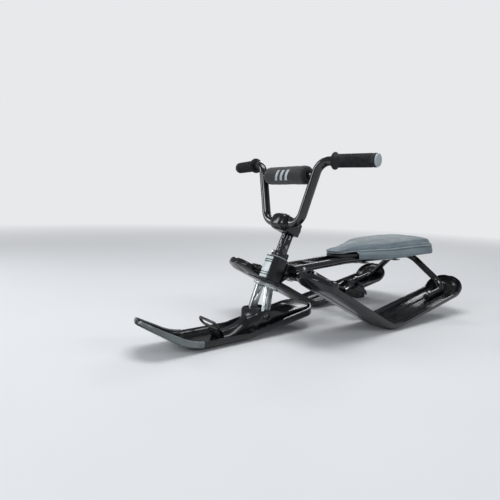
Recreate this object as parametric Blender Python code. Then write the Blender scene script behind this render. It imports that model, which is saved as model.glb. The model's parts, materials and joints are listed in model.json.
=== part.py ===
"""Steering sled: two rear skis, a steered front ski, a bent tube frame, seat, handlebar and foot brake.

Metres, +Z up. The rider faces -Y and the rider's left is +X. The ground is Z = 0.
"""
import math

import bmesh
import bpy
from mathutils import Matrix, Vector

# Clearances
GAP = 0.0003                 # between pieces that touch
RUN = 0.0002                 # radial, where a shaft turns in a bore
SLIDE = 0.0003               # between the bar post and what guides it

# Frame tubes
TUBE_RADIUS = 0.011
TUBE_SPACING = 0.062         # between the centre lines of the twin top tubes
TUBE_FRONT_Y = -0.0924
NECK_LENGTH = 0.062          # of the block between the tubes, from their front ends
NECK_RIVET_INSET = 0.030
NECK_STRAP_WIDTH = 0.030
TUBE_BEND_Y = 0.1296         # where the rising top tubes turn level
TUBE_DIP = 0.013             # how much lower the tubes are at their front
TUBE_BEND_RADIUS = 0.042
LEG_TOP_Y = 0.4854
FOOT_TOE_INSET = 0.0809      # a foot's front end, ahead of where its ski's tail turns up
FOOT_LENGTH = 0.116
FOOT_BOLT_INSET = 0.018

# Rear skis
SKI_SPACING = 0.308          # between the centre lines of the rear skis
SKI_WIDTH = 0.122
SKI_TOUCH_Y = 0.1696         # middle of the stretch where the rear skis touch the ground
SKI_FLAT_LENGTH = 0.020
RAMP_ANGLE = math.radians(27.5)
RAMP_LENGTH = 0.270
REAR_RISE_ANGLE = math.radians(10.0)
REAR_RISE_LENGTH = 0.296
SKI_BEND_RADIUS = 0.099
CURL_RADIUS = 0.055          # of the rear skis' turned-up ends
FRONT_CURL_ANGLE = math.radians(12.0)
REAR_CURL_ANGLE = math.radians(40.0)
SKI_RIM = 0.019
SKI_FLOOR = 0.0065
SKI_TIP_LENGTH = 0.046

# Front ski
FRONT_SKI_WIDTH = 0.120
FRONT_FLAT_Y = -0.3204       # middle of the stretch that lies on the ground
FRONT_FLAT_LENGTH = 0.120
NOSE_ANGLE = math.radians(32.0)
NOSE_RADIUS = 0.180
NOSE_LENGTH = 0.042
TAIL_ANGLE = math.radians(8.5)
TAIL_RADIUS = 0.150
TAIL_LENGTH = 0.184
FRONT_RIM_NOSE = 0.011
FRONT_RIM_TAIL = 0.030
FRONT_FLOOR = 0.007

# Steering head, on an axis that leans back
HEAD_Y = -0.1550
HEAD_Z = 0.130
RAKE = math.radians(25.0)
HEAD_BOTTOM = 0.006          # along the axis from its foot point
HEAD_LENGTH = 0.070
HEAD_RADIUS = 0.0235
STEERER_RADIUS = 0.019
BUSH_FLANGE = 0.003
BUSH_FLANGE_RADIUS = 0.0252
BUSH_DEPTH = 0.012
COVER_HALF_WIDTH = 0.029
COVER_FRONT = 0.032
COVER_BACK = 0.010
LABEL_WIDTH = 0.030
LABEL_THICKNESS = 0.0012
VISOR_REACH = 0.083
VISOR_THICKNESS = 0.0075
CROWN_THICKNESS = 0.006
CROWN_RADIUS = 0.031
CROWN_REACH = 0.052
CROWN_DROP = 0.0065          # from the axis foot point down to the crown's top

# Fork and ski pivot
PIVOT_DROP = 0.0905          # along the axis from its foot point down to the ski pivot
LEG_OFFSET = 0.0132          # how far the leg tops stand ahead of the axis
LEG_TOP_X = 0.0165
LEG_WIDTH = 0.024
LEG_WEB = 0.003
LEG_FLANGE = 0.0095
LEG_END = 0.013              # leg past the pivot
TOWER_HALF_WIDTH = 0.0215
TOWER_SIDE_GAP = 0.003       # between the tower and each leg
PIVOT_BOLT_RADIUS = 0.005
PIVOT_BUSH_WALL = 0.0024
TOWER_HEAD = 0.0175          # tower above the pivot
TOWER_FRONT_REACH = 0.0245
TOWER_BACK_REACH = 0.064

# Hull that stands on the front ski round the fork's ends, measured from the pivot
HULL_BOW = 0.1252            # ahead of the pivot
HULL_PEAK = 0.0262           # where the bow reaches the crest
HULL_BOW_HEIGHT = 0.0145     # above the floor
HULL_BOW_HALF_WIDTH = 0.012
HULL_HALF_WIDTH = 0.0412
HULL_TAIL_HALF_WIDTH = 0.0505
HULL_FOOT_HALF_WIDTH = 0.0415
HULL_WALL = 0.0034
HULL_FLARE = 0.008
HULL_SHOULDER = 0.0377       # middle of the stretch where it widens
HULL_SHOULDER_LENGTH = 0.030
HULL_DECK_RISE = 0.002       # deck above the line of the rims
HULL_TAIL = 0.1680           # behind the pivot
HULL_FLOOR = 0.004
BOWL_FRONT = 0.0212
BOWL_BACK = 0.118
BOWL_END_HALF_WIDTH = 0.016
BOLT_WINDOW_RADIUS = 0.0095

# Bar post and handlebar
POST_DEPTH = 0.030
POST_WIDTH = 0.024
POST_CORNER = 0.006
POST_WALL = 0.0028
POST_TOP = 0.160
POST_INSERT = 0.082          # post length inside the steerer at rest
STEP = 0.027                 # between the height holes
HOLE_COUNT = 4
HOLE_RADIUS = 0.0036
COLLAR_HEIGHT = 0.015
COLLAR_RADIUS = 0.0245
PIN_RADIUS = 0.0033
PIN_REACH = 0.009            # pin past the collar's front
PIN_KNOB_RADIUS = 0.0046
BAR_RADIUS = 0.0125
BAR_FORWARD = 0.035          # bar centre ahead of the steering axis
BAR_ALONG = 0.1735           # bar centre along the steering axis
BAR_CORNER_X = 0.068
BAR_SHOULDER_X = 0.117
GRIP_START_X = 0.160
GRIP_END_X = 0.274
GRIP_RISE = 0.166
GRIP_SWEEP = 0.021           # grip end behind its start
GRIP_BACK = 0.026
BAR_BEND_RADIUS = 0.040
CROSSBAR_RISE = 0.132
CROSSBAR_RADIUS = 0.009
PAD_RADIUS = 0.0275
CLAMP_HALF_WIDTH = 0.024
CLAMP_HALF_HEIGHT = 0.0215
CLAMP_CAP_THICKNESS = 0.018
CLAMP_BACK = 0.020
KNOB_RADIUS = 0.0135
KNOB_LENGTH = 0.015
GRIP_RADIUS = 0.0172
GRIP_FLANGE_RADIUS = 0.0225
PLUG_THICKNESS = 0.005

# Seat
SEAT_NOSE_Y = 0.0846
SEAT_TAIL_Y = 0.5496
SEAT_HALF_WIDTH = 0.102
SEAT_NOSE_HALF_WIDTH = 0.037
SEAT_WAIST_Y = 0.2264        # middle of the widening behind the nose
SEAT_WAIST_LENGTH = 0.185
PAN_THICKNESS = 0.007
PAN_INSET = 0.004
CUSHION_NOSE_HEIGHT = 0.024
CUSHION_HEIGHT = 0.053
STRAP_WIDTH = 0.024
STRAP_THICKNESS = 0.004
STRAP_STATIONS = (0.2196, 0.3896)
STRAP_BOLT_RADIUS = 0.003

# Foot brake
BRAKE_PIVOT_Y = -0.0004
BRAKE_PIVOT_DROP = 0.026     # below the top tubes' centre lines
BRAKE_BOLT_RADIUS = 0.004
BRAKE_HEAD_RADIUS = 0.0078
HANGER_STEM_HALF = 0.008
HANGER_LENGTH = 0.030
EYE_RADIUS = 0.008
ARM_THICKNESS = 0.006
ARM_HEIGHT = 0.014
PEDAL_Y = 0.1476
PEDAL_Z = 0.079
PEDAL_ROD_RADIUS = 0.005
PEDAL_REACH = 0.084
PEDAL_LENGTH = 0.046
PEDAL_DEPTH = 0.040
PEDAL_THICKNESS = 0.019
CLAW_TOP_Y = 0.1974
CLAW_TOP_Z = 0.106
CLAW_TIP_Y = 0.2434
CLAW_TIP_Z = 0.060
CLAW_WIDTH = 0.080
CLAW_THICKNESS = 0.004
CLAW_TEETH = 5
CLAW_TOOTH = 0.014
SPRING_WIRE = 0.0009
SPRING_TURNS = 3

# Tow handle
HANDLE_Y = -0.3524
HANDLE_Z = 0.046
HANDLE_HALF_LENGTH = 0.041
HANDLE_HALF_HEIGHT = 0.0115
HANDLE_BAR = 0.0034
HANDLE_LEAN = math.radians(32.0)

# Fasteners
SMALL_BOLT_RADIUS = 0.003
SMALL_HEAD_RADIUS = 0.0062
SMALL_HEAD_HEIGHT = 0.0045
NECK_STRAP_THICKNESS = 0.004
SADDLE_WALL = 0.003
SADDLE_WIDTH = 0.029
SADDLE_LIP = 0.007
CROSS_TUBE_Y = -0.0804
CROSS_TUBE_OVERHANG = 0.026  # past each ski's centre line

ROUND = 16                   # sides of a tube
FINE = 24                    # sides of a larger round piece
HEAD_SIDES = 32              # sides of the steering head's round pieces


# Shapes as (vertices, faces)

def circle(radius, sides):
    """Points of a circle in the XY plane."""
    return [(radius * math.cos(2 * math.pi * k / sides), radius * math.sin(2 * math.pi * k / sides))
            for k in range(sides)]


def rounded_rectangle(half_x, half_y, corner, sides):
    """Points of a rounded rectangle, the same number in each corner."""
    points = []
    per_corner = sides // 4
    for quarter in range(4):
        sign_x = (1, -1, -1, 1)[quarter]
        sign_y = (1, 1, -1, -1)[quarter]
        for k in range(per_corner):
            angle = math.pi / 2 * (quarter + k / (per_corner - 1))
            points.append((sign_x * (half_x - corner) + corner * math.cos(angle),
                           sign_y * (half_y - corner) + corner * math.sin(angle)))
    return points


def loft(rings, closed=False):
    """Skin through rings that all have the same number of points, with flat ends unless it closes."""
    count = len(rings[0])
    vertices = [Vector(p) for ring in rings for p in ring]
    faces = []
    spans = len(rings) if closed else len(rings) - 1
    for i in range(spans):
        a = i * count
        b = ((i + 1) % len(rings)) * count
        for k in range(count):
            n = (k + 1) % count
            faces.append((a + k, a + n, b + n, b + k))
    if not closed:
        faces.append(tuple(range(count)))
        faces.append(tuple((len(rings) - 1) * count + k for k in range(count)))
    return vertices, faces


def prism(outline, low, high):
    """Outline in XY raised from low to high along Z."""
    return loft([[(x, y, low) for x, y in outline], [(x, y, high) for x, y in outline]])


def sleeve(outer, inner, low, high):
    """Prism with a hole: outer and inner outlines have the same number of points."""
    rings = [[(x, y, low) for x, y in outer], [(x, y, high) for x, y in outer],
             [(x, y, high) for x, y in inner], [(x, y, low) for x, y in inner]]
    return loft(rings, closed=True)


def lathe(profile, sides):
    """Turn (radius, z) points about Z. The profile starts and ends on the axis."""
    vertices = []
    rows = []
    for radius, z in profile:
        if radius == 0:
            rows.append([len(vertices)])
            vertices.append(Vector((0, 0, z)))
        else:
            rows.append(list(range(len(vertices), len(vertices) + sides)))
            vertices += [Vector((x, y, z)) for x, y in circle(radius, sides)]
    faces = []
    for low, high in zip(rows, rows[1:]):
        for k in range(sides):
            n = (k + 1) % sides
            if len(low) == 1:
                faces.append((low[0], high[n], high[k]))
            elif len(high) == 1:
                faces.append((low[k], low[n], high[0]))
            else:
                faces.append((low[k], low[n], high[n], high[k]))
    return vertices, faces


def turned_ring(profile, sides):
    """Turn a closed (radius, z) outline about Z into a ring."""
    rings = [[(x, y, z) for x, y in circle(radius, sides)] for radius, z in profile]
    return loft(rings, closed=True)


def rounded_path(corners, radius, arc_step=math.radians(13)):
    """Polyline through 3-D corners with each inner corner rounded by an arc."""
    corners = [Vector(c) for c in corners]
    points = [corners[0]]
    for before, corner, after in zip(corners, corners[1:], corners[2:]):
        u = (before - corner).normalized()
        v = (after - corner).normalized()
        opening = u.angle(v)
        turn = math.pi - opening
        centre = corner + (u + v).normalized() * (radius / math.sin(opening / 2))
        tangent = radius / math.tan(opening / 2)
        start = corner + u * tangent - centre
        axis = start.cross(corner + v * tangent - centre).normalized()
        steps = max(1, round(turn / arc_step))
        for k in range(steps + 1):
            points.append(centre + Matrix.Rotation(turn * k / steps, 3, axis) @ start)
    points.append(corners[-1])
    return points


def sweep(path, radius, sides, closed=False):
    """Round rod along a path, its section carried along without twist."""
    path = [Vector(p) for p in path]
    count = len(path)
    tangents = []
    for i, point in enumerate(path):
        after = path[(i + 1) % count] if closed or i < count - 1 else point
        before = path[i - 1] if closed or i > 0 else point
        tangents.append(((after - point).normalized() + (point - before).normalized()).normalized())
    side = tangents[0].orthogonal().normalized()
    rings = []
    for i, point in enumerate(path):
        if i:
            side = tangents[i - 1].rotation_difference(tangents[i]) @ side
        side = (side - tangents[i] * side.dot(tangents[i])).normalized()
        up = tangents[i].cross(side)
        rings.append([point + side * x + up * y for x, y in circle(radius, sides)])
    return loft(rings, closed)


def placed(shape, matrix):
    vertices, faces = shape
    return [matrix @ v for v in vertices], faces


def joined(shapes):
    """Several separate shapes as one, for cutters."""
    vertices = []
    faces = []
    for part_vertices, part_faces in shapes:
        base = len(vertices)
        vertices += part_vertices
        faces += [tuple(base + i for i in face) for face in part_faces]
    return vertices, faces


def along(axis):
    """Rotation that turns +Z to the axis."""
    return Vector((0, 0, 1)).rotation_difference(Vector(axis)).to_matrix().to_4x4()


def side_view():
    """Matrix that lays XY outlines in the YZ plane: outline x to Y, outline y to Z, height to X."""
    return Matrix(((0, 0, 1, 0), (1, 0, 0, 0), (0, 1, 0, 0), (0, 0, 0, 1)))


def rod(start, end, radius, sides):
    """Straight round rod between two points."""
    start = Vector(start)
    length = (Vector(end) - start).length
    matrix = Matrix.Translation(start) @ along((Vector(end) - start).normalized())
    return placed(prism(circle(radius, sides), 0, length), matrix)


# Scene objects

def material(name, color, metallic, roughness):
    result = bpy.data.materials.new(name)
    result.use_nodes = True
    shader = result.node_tree.nodes["Principled BSDF"]
    shader.inputs["Base Color"].default_value = (*color, 1)
    shader.inputs["Metallic"].default_value = metallic
    shader.inputs["Roughness"].default_value = roughness
    return result


FINISHES = {
    "painted": ((0.02, 0.02, 0.022), 0.0, 0.25),
    "steel": ((0.62, 0.63, 0.65), 1.0, 0.3),
    "plastic": ((0.025, 0.026, 0.028), 0.0, 0.38),
    "pale_plastic": ((0.6, 0.61, 0.62), 0.0, 0.4),
    "rubber": ((0.02, 0.02, 0.02), 0.0, 0.75),
    "vinyl": ((0.09, 0.1, 0.11), 0.0, 0.5),
    "foam": ((0.035, 0.035, 0.038), 0.0, 0.85),
}


def add(name, shape, parent, finish, bevel=0.0, sharp=math.radians(35)):
    """Piece from a closed shape, in its parent's own axes."""
    vertices, faces = shape
    mesh = bpy.data.meshes.new(name)
    mesh.from_pydata([tuple(v) for v in vertices], [], faces)
    work = bmesh.new()
    work.from_mesh(mesh)
    bmesh.ops.recalc_face_normals(work, faces=work.faces)
    work.to_mesh(mesh)
    work.free()
    mesh.shade_smooth()
    mesh.set_sharp_from_angle(angle=sharp)
    piece = bpy.data.objects.new(name, mesh)
    bpy.context.scene.collection.objects.link(piece)
    piece.parent = parent
    mesh.materials.append(material(name + "_" + finish, *FINISHES[finish]))
    if bevel:
        edge = piece.modifiers.new("edges", "BEVEL")
        edge.width = bevel
        edge.segments = 1
        edge.limit_method = "ANGLE"
        edge.angle_limit = math.radians(40)
    return piece


def cut(piece, shapes, name, operation="DIFFERENCE"):
    """Take shapes, in the piece's own axes, out of it."""
    vertices, faces = joined(shapes)
    mesh = bpy.data.meshes.new(name)
    mesh.from_pydata([tuple(v) for v in vertices], [], faces)
    work = bmesh.new()
    work.from_mesh(mesh)
    bmesh.ops.recalc_face_normals(work, faces=work.faces)
    work.to_mesh(mesh)
    work.free()
    cutter = bpy.data.objects.new(name, mesh)
    bpy.context.scene.collection.objects.link(cutter)
    cutter.parent = piece.parent
    cutter.hide_render = True
    cutter.display_type = "WIRE"
    step = piece.modifiers.new(name, "BOOLEAN")
    step.operation = operation
    step.solver = "EXACT"
    step.object = cutter


def weld(piece, shapes, name):
    """Join shapes, in the piece's own axes, to it."""
    cut(piece, shapes, name, "UNION")


def empty(name, matrix, parent=None):
    """Empty at a matrix given in its parent's axes."""
    result = bpy.data.objects.new(name, None)
    bpy.context.scene.collection.objects.link(result)
    result.parent = parent
    place, turn, _ = matrix.decompose()
    result.location = place
    result.rotation_euler = turn.to_euler()
    result.empty_display_size = 0.03
    return result


def bolt(name, parent, matrix, length, radius=SMALL_BOLT_RADIUS, head=SMALL_HEAD_RADIUS,
         height=SMALL_HEAD_HEIGHT):
    """Domed bolt. Its seat is the matrix's origin, its head stands along +Z and its shank along -Z."""
    profile = [(0, -length), (radius, -length), (radius, GAP), (head, GAP), (head, height * 0.45),
               (head * 0.72, height * 0.85), (0, height)]
    return add(name, placed(lathe(profile, ROUND), matrix), parent, "steel")


def rivet(name, parent, matrix, half, radius, head, height):
    """Rivet across X with a domed head at each end, half being where each head seats."""
    side = [(0, half + height), (head * 0.72, half + height * 0.85), (head, half + height * 0.45),
            (head, half + GAP), (radius, half + GAP)]
    profile = side + [(r, -z) for r, z in side[::-1]]
    return add(name, placed(lathe(profile, ROUND), matrix @ along((1, 0, 0))), parent, "steel")


def nut(name, parent, matrix, radius, across, height):
    """Six-sided nut standing along +Z from the matrix's origin, on a shank of the given radius."""
    outline = [(across * math.cos(math.pi / 3 * k), across * math.sin(math.pi / 3 * k)) for k in range(6)]
    sides = 24
    outer = []
    for k in range(sides):
        edge, step = divmod(k, sides // 6)
        t = step / (sides // 6)
        x0, y0 = outline[edge]
        x1, y1 = outline[(edge + 1) % 6]
        outer.append((x0 + (x1 - x0) * t, y0 + (y1 - y0) * t))
    shape = sleeve(outer, circle(radius + GAP, sides), GAP, height)
    return add(name, placed(shape, matrix), parent, "steel")


def bore(start, end, radius, sides=ROUND):
    """Cutter for a straight hole, a little longer than the stretch it goes through."""
    start = Vector(start)
    end = Vector(end)
    over = (end - start).normalized() * 0.001
    return rod(start - over, end + over, radius, sides)


# Skis

TIP_STEPS = 6
TIP_END = math.radians(20)
BEND_STEPS = 5
CURL_STEPS = 4
STRAIGHT_STEPS = 4


def keel_line(touch_y, flat, front, rear):
    """Stations along a ski's underside from its front end to its rear end.

    front and rear are (bend radius, rise angle, straight length, curl radius, curl angle), each
    ending in a rounded tip. A station is (y, z, slope towards +Y, share of the full width).
    """
    halves = []
    for sign, (radius, rise, straight, curl_radius, curl) in ((-1, front), (1, rear)):
        start_y = touch_y + sign * flat / 2
        half = []
        for k in range(BEND_STEPS + 1):
            angle = rise * k / BEND_STEPS
            half.append((start_y + sign * radius * math.sin(angle), radius * (1 - math.cos(angle)),
                         sign * angle, 1.0))
        bend_y, bend_z, slope, _ = half[-1]
        for k in range(1, STRAIGHT_STEPS + 1):
            distance = straight * k / STRAIGHT_STEPS
            half.append((bend_y + sign * distance * math.cos(rise), bend_z + distance * math.sin(rise),
                         slope, 1.0))
        curl_y, curl_z, _, _ = half[-1]
        for k in range(1, CURL_STEPS + 1 if curl else 1):
            angle = rise + curl * k / CURL_STEPS
            half.append((curl_y + sign * curl_radius * (math.sin(angle) - math.sin(rise)),
                         curl_z + curl_radius * (math.cos(rise) - math.cos(angle)), sign * angle, 1.0))
        tip_y, tip_z, slope, _ = half[-1]
        lean = abs(slope)
        for k in range(1, TIP_STEPS + 1):
            angle = math.pi / 2 - (math.pi / 2 - TIP_END) * k / TIP_STEPS
            distance = SKI_TIP_LENGTH * math.cos(angle) / math.cos(TIP_END)
            half.append((tip_y + sign * distance * math.cos(lean), tip_z + distance * math.sin(lean),
                         slope, math.sin(angle)))
        halves.append(half)
    front_half, rear_half = halves
    return front_half[::-1] + rear_half


def above_keel(station, height):
    """Point (y, z) at a height square to the keel line."""
    y, z, slope, _ = station
    return y - height * math.sin(slope), z + height * math.cos(slope)


def keel_frame(stations, y, height):
    """Matrix on a straight stretch of keel at a given y: +Y along the keel, +Z square to it."""
    for before, after in zip(stations, stations[1:]):
        if before[0] <= y <= after[0]:
            share = (y - before[0]) / (after[0] - before[0])
            z = before[1] + (after[1] - before[1]) * share
            slope = math.atan2(after[1] - before[1], after[0] - before[0])
            base = Matrix.Translation((0, y, z)) @ Matrix.Rotation(slope, 4, "X")
            return base @ Matrix.Translation((0, 0, height))
    raise ValueError("y is off the ski")


def ski_shape(stations, half_width, floor, rim_front, rim_rear, ridges, centre_x=0.0):
    """Channel-shaped ski: flat running base, raised rims, dished floor that closes at both tips."""
    keel_half = half_width * 0.5
    rings = []
    for i, station in enumerate(stations):
        y, z, slope, share = station
        rim = rim_front + (rim_rear - rim_front) * i / (len(stations) - 1)
        closing = (1 - share) / (1 - math.sin(TIP_END))
        lift = (rim - floor - 0.0022) * closing ** 2
        top = floor + lift
        ridge = top + (0.0035 if ridges and share == 1 else 0.0)
        right = [(0.0, 0.0), (keel_half, 0.0), (half_width - 0.006, 0.004), (half_width, 0.009),
                 (half_width, rim), (half_width - 0.006, rim), (half_width - 0.0115, top + 0.0022),
                 (half_width - 0.024, top), (0.0275, top), (0.0245, ridge), (0.0185, ridge),
                 (0.0155, top), (0.0, top)]
        section = right[1:-1] + [right[-1]] + [(-x, h) for x, h in right[-2:0:-1]] + [right[0]]
        rings.append([(centre_x + x * share, *above_keel(station, h)) for x, h in section])
    return loft(rings)


def rear_keel():
    return keel_line(SKI_TOUCH_Y, SKI_FLAT_LENGTH,
                     (SKI_BEND_RADIUS, RAMP_ANGLE, RAMP_LENGTH, CURL_RADIUS, FRONT_CURL_ANGLE),
                     (SKI_BEND_RADIUS, REAR_RISE_ANGLE, REAR_RISE_LENGTH, CURL_RADIUS, REAR_CURL_ANGLE))


def front_keel():
    return keel_line(FRONT_FLAT_Y, FRONT_FLAT_LENGTH, (NOSE_RADIUS, NOSE_ANGLE, NOSE_LENGTH, 0, 0),
                     (TAIL_RADIUS, TAIL_ANGLE, TAIL_LENGTH, 0, 0))


# Places shared by several pieces

TUBE_X = TUBE_SPACING / 2
SKI_X = SKI_SPACING / 2
SIDES = (("left", 1), ("right", -1))
FOOT_TOE_Y = (SKI_TOUCH_Y + SKI_FLAT_LENGTH / 2 + SKI_BEND_RADIUS * math.sin(REAR_RISE_ANGLE)
              + REAR_RISE_LENGTH * math.cos(REAR_RISE_ANGLE) - FOOT_TOE_INSET)


def cross_tube_centre():
    """(y, z) of the front cross tube, which lies on the rear skis' rims."""
    keel = rear_keel()
    rest = SKI_RIM + GAP + TUBE_RADIUS
    y = CROSS_TUBE_Y - rest * math.sin(RAMP_ANGLE)
    frame = keel_frame(keel, y, rest)
    return frame.translation.y, frame.translation.z


def top_tube_front_z():
    return cross_tube_centre()[1] + 2 * TUBE_RADIUS + GAP


def top_tube_z(y):
    """Height of the twin top tubes' centre lines."""
    front = top_tube_front_z()
    if y > TUBE_BEND_Y:
        return front + TUBE_DIP
    return front + TUBE_DIP * (y - TUBE_FRONT_Y) / (TUBE_BEND_Y - TUBE_FRONT_Y)


def seat_level():
    """Underside of the seat pan."""
    return top_tube_z(TUBE_BEND_Y) + TUBE_RADIUS + GAP


def pivot_place():
    """World place of the front ski's pivot, on the steering axis."""
    return Vector((0, HEAD_Y - PIVOT_DROP * math.sin(RAKE), HEAD_Z - PIVOT_DROP * math.cos(RAKE)))


def brake_place():
    return Vector((0, BRAKE_PIVOT_Y, top_tube_z(BRAKE_PIVOT_Y) - BRAKE_PIVOT_DROP))


HEAD_TOP = HEAD_BOTTOM + HEAD_LENGTH
STEERER_TOP = HEAD_TOP + BUSH_FLANGE + RUN
CROWN_TOP = -CROWN_DROP
CROWN_BOTTOM = CROWN_TOP - CROWN_THICKNESS
COLLAR_BOTTOM = STEERER_TOP + GAP
COLLAR_TOP = COLLAR_BOTTOM + COLLAR_HEIGHT
POST_BOTTOM = STEERER_TOP - POST_INSERT
PIN_Z = COLLAR_BOTTOM + COLLAR_HEIGHT / 2


# Frame

def frame_tube(side):
    """One top tube with its rear leg and foot, bent from a single length."""
    keel = rear_keel()
    rest = SKI_FLOOR + GAP + TUBE_RADIUS
    foot = keel_frame(keel, FOOT_TOE_Y, rest)
    toe = foot.translation
    heel = foot @ Vector((0, FOOT_LENGTH, 0))
    level = top_tube_z(TUBE_BEND_Y)
    corners = [(TUBE_X, TUBE_FRONT_Y, top_tube_front_z()), (TUBE_X, TUBE_BEND_Y, level),
               (TUBE_X, LEG_TOP_Y, level), (SKI_X, heel.y, heel.z), (SKI_X, toe.y, toe.z)]
    path = rounded_path(corners, TUBE_BEND_RADIUS)
    return [(side * p.x, p.y, p.z) for p in path]


def foot_bolt_frame(side):
    """Seat of a foot bolt, on top of the foot tube."""
    frame = keel_frame(rear_keel(), FOOT_TOE_Y + FOOT_BOLT_INSET, SKI_FLOOR + GAP + 2 * TUBE_RADIUS)
    return Matrix.Translation((side * SKI_X, 0, 0)) @ frame


def saddle_frame(side):
    """Middle of a saddle on a rear ski's floor, below the cross tube."""
    rest = SKI_RIM + GAP + TUBE_RADIUS
    frame = keel_frame(rear_keel(), CROSS_TUBE_Y - rest * math.sin(RAMP_ANGLE), SKI_FLOOR + GAP)
    return Matrix.Translation((side * SKI_X, 0, 0)) @ frame


SADDLE_TUBE_HEIGHT = SKI_RIM + TUBE_RADIUS - SKI_FLOOR
SADDLE_BOLT_OFFSET = TUBE_RADIUS + SADDLE_WALL + SMALL_HEAD_RADIUS + 0.001


def build_frame(root):
    cross_y, cross_z = cross_tube_centre()
    reach = SKI_X + CROSS_TUBE_OVERHANG
    bolt_y = TUBE_FRONT_Y + NECK_RIVET_INSET
    bolt_z = top_tube_z(bolt_y)
    foot_depth = 2 * TUBE_RADIUS + GAP + SKI_FLOOR * 0.8
    tubes = {}
    for word, side in SIDES:
        tube = add("frame_tube_" + word, sweep(frame_tube(side), TUBE_RADIUS, ROUND), root, "painted")
        seat = foot_bolt_frame(side)
        foot_hole = rod(seat @ Vector((0, 0, 0.002)), seat @ Vector((0, 0, -2 * TUBE_RADIUS - 0.002)),
                        SMALL_BOLT_RADIUS + GAP, ROUND)
        neck_hole = bore((side * (TUBE_X - TUBE_RADIUS), bolt_y, bolt_z),
                         (side * (TUBE_X + TUBE_RADIUS), bolt_y, bolt_z), SMALL_BOLT_RADIUS + GAP)
        cut(tube, [foot_hole, neck_hole], "holes_in_frame_tube_" + word)
        tubes[word] = tube
        bolt("foot_bolt_" + word, root, seat, foot_depth)
    add("front_cross_tube", rod((-reach, cross_y, cross_z), (reach, cross_y, cross_z), TUBE_RADIUS, ROUND),
        root, "painted")
    neck = add("neck_block", placed(prism(neck_outline(), -(TUBE_X - TUBE_RADIUS - GAP),
                                          TUBE_X - TUBE_RADIUS - GAP), side_view()), root, "painted")
    half = TUBE_X + TUBE_RADIUS
    cut(neck, [bore((-half, bolt_y, bolt_z), (half, bolt_y, bolt_z), SMALL_BOLT_RADIUS + GAP)],
        "hole_in_neck_block")
    rivet("neck_rivet", root, Matrix.Translation((0, bolt_y, bolt_z)), half, SMALL_BOLT_RADIUS,
          SMALL_HEAD_RADIUS, SMALL_HEAD_HEIGHT)
    half = NECK_STRAP_WIDTH / 2
    add("neck_strap", placed(prism(strap_outline(), -half, half), side_view()), root, "steel", 0.0006)


def neck_outline():
    """Side outline (y, z) of the block between the top tubes behind the head tube."""
    cross_y, cross_z = cross_tube_centre()
    roof = cross_z + TUBE_RADIUS + GAP
    front = head_point(HEAD_RADIUS + GAP, HEAD_BOTTOM + 0.006)
    top = head_point(HEAD_RADIUS + GAP, HEAD_TOP - 0.004)
    under_y = cross_y - TUBE_RADIUS - GAP
    back_y = TUBE_FRONT_Y + NECK_LENGTH
    return [front, (under_y - NECK_STRAP_THICKNESS - 0.001, cross_z), (under_y, cross_z), (under_y, roof),
            (back_y, top_tube_z(back_y) - TUBE_RADIUS), (back_y, top_tube_z(back_y) + 0.006),
            (TUBE_FRONT_Y + 0.006, top_tube_front_z() + TUBE_RADIUS), top]


def head_point(back, height):
    """World (y, z) of a place behind the steering axis by back, at a height along it."""
    return (HEAD_Y + back * math.cos(RAKE) + height * math.sin(RAKE),
            HEAD_Z - back * math.sin(RAKE) + height * math.cos(RAKE))


def strap_outline():
    """Bent strap from the neck block's front corner down around the cross tube and back up to the block."""
    cross_y, cross_z = cross_tube_centre()
    inner = TUBE_RADIUS + GAP
    outer = inner + NECK_STRAP_THICKNESS
    top = cross_z + TUBE_RADIUS
    steps = 12
    start = math.pi + GAP / inner
    arc = [start + (2 * math.pi - start) * k / steps for k in range(steps + 1)]
    inside = [(cross_y + inner * math.cos(a), cross_z + inner * math.sin(a)) for a in arc]
    outside = [(cross_y + outer * math.cos(a), cross_z + outer * math.sin(a)) for a in arc[::-1]]
    return inside + [(cross_y + inner, top), (cross_y + outer, top)] + outside


def build_skis(root):
    keel = rear_keel()
    for word, side in SIDES:
        ski = add("rear_ski_" + word,
                  ski_shape(keel, SKI_WIDTH / 2, SKI_FLOOR, SKI_RIM, SKI_RIM, True, side * SKI_X),
                  root, "plastic")
        seat = foot_bolt_frame(side)
        depth = 2 * TUBE_RADIUS + GAP
        holes = [rod(seat @ Vector((0, 0, -depth + 0.003)), seat @ Vector((0, 0, -depth - SKI_FLOOR * 0.85)),
                     SMALL_BOLT_RADIUS + GAP, ROUND)]
        saddle_seat = saddle_frame(side)
        for offset in (-SADDLE_BOLT_OFFSET, SADDLE_BOLT_OFFSET):
            holes.append(rod(saddle_seat @ Vector((0, offset, 0.003)),
                             saddle_seat @ Vector((0, offset, -GAP - SKI_FLOOR * 0.85)),
                             SMALL_BOLT_RADIUS + GAP, ROUND))
        cut(ski, holes, "bolt_holes_in_rear_ski_" + word)
        build_saddle(word, saddle_seat, root)


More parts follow.
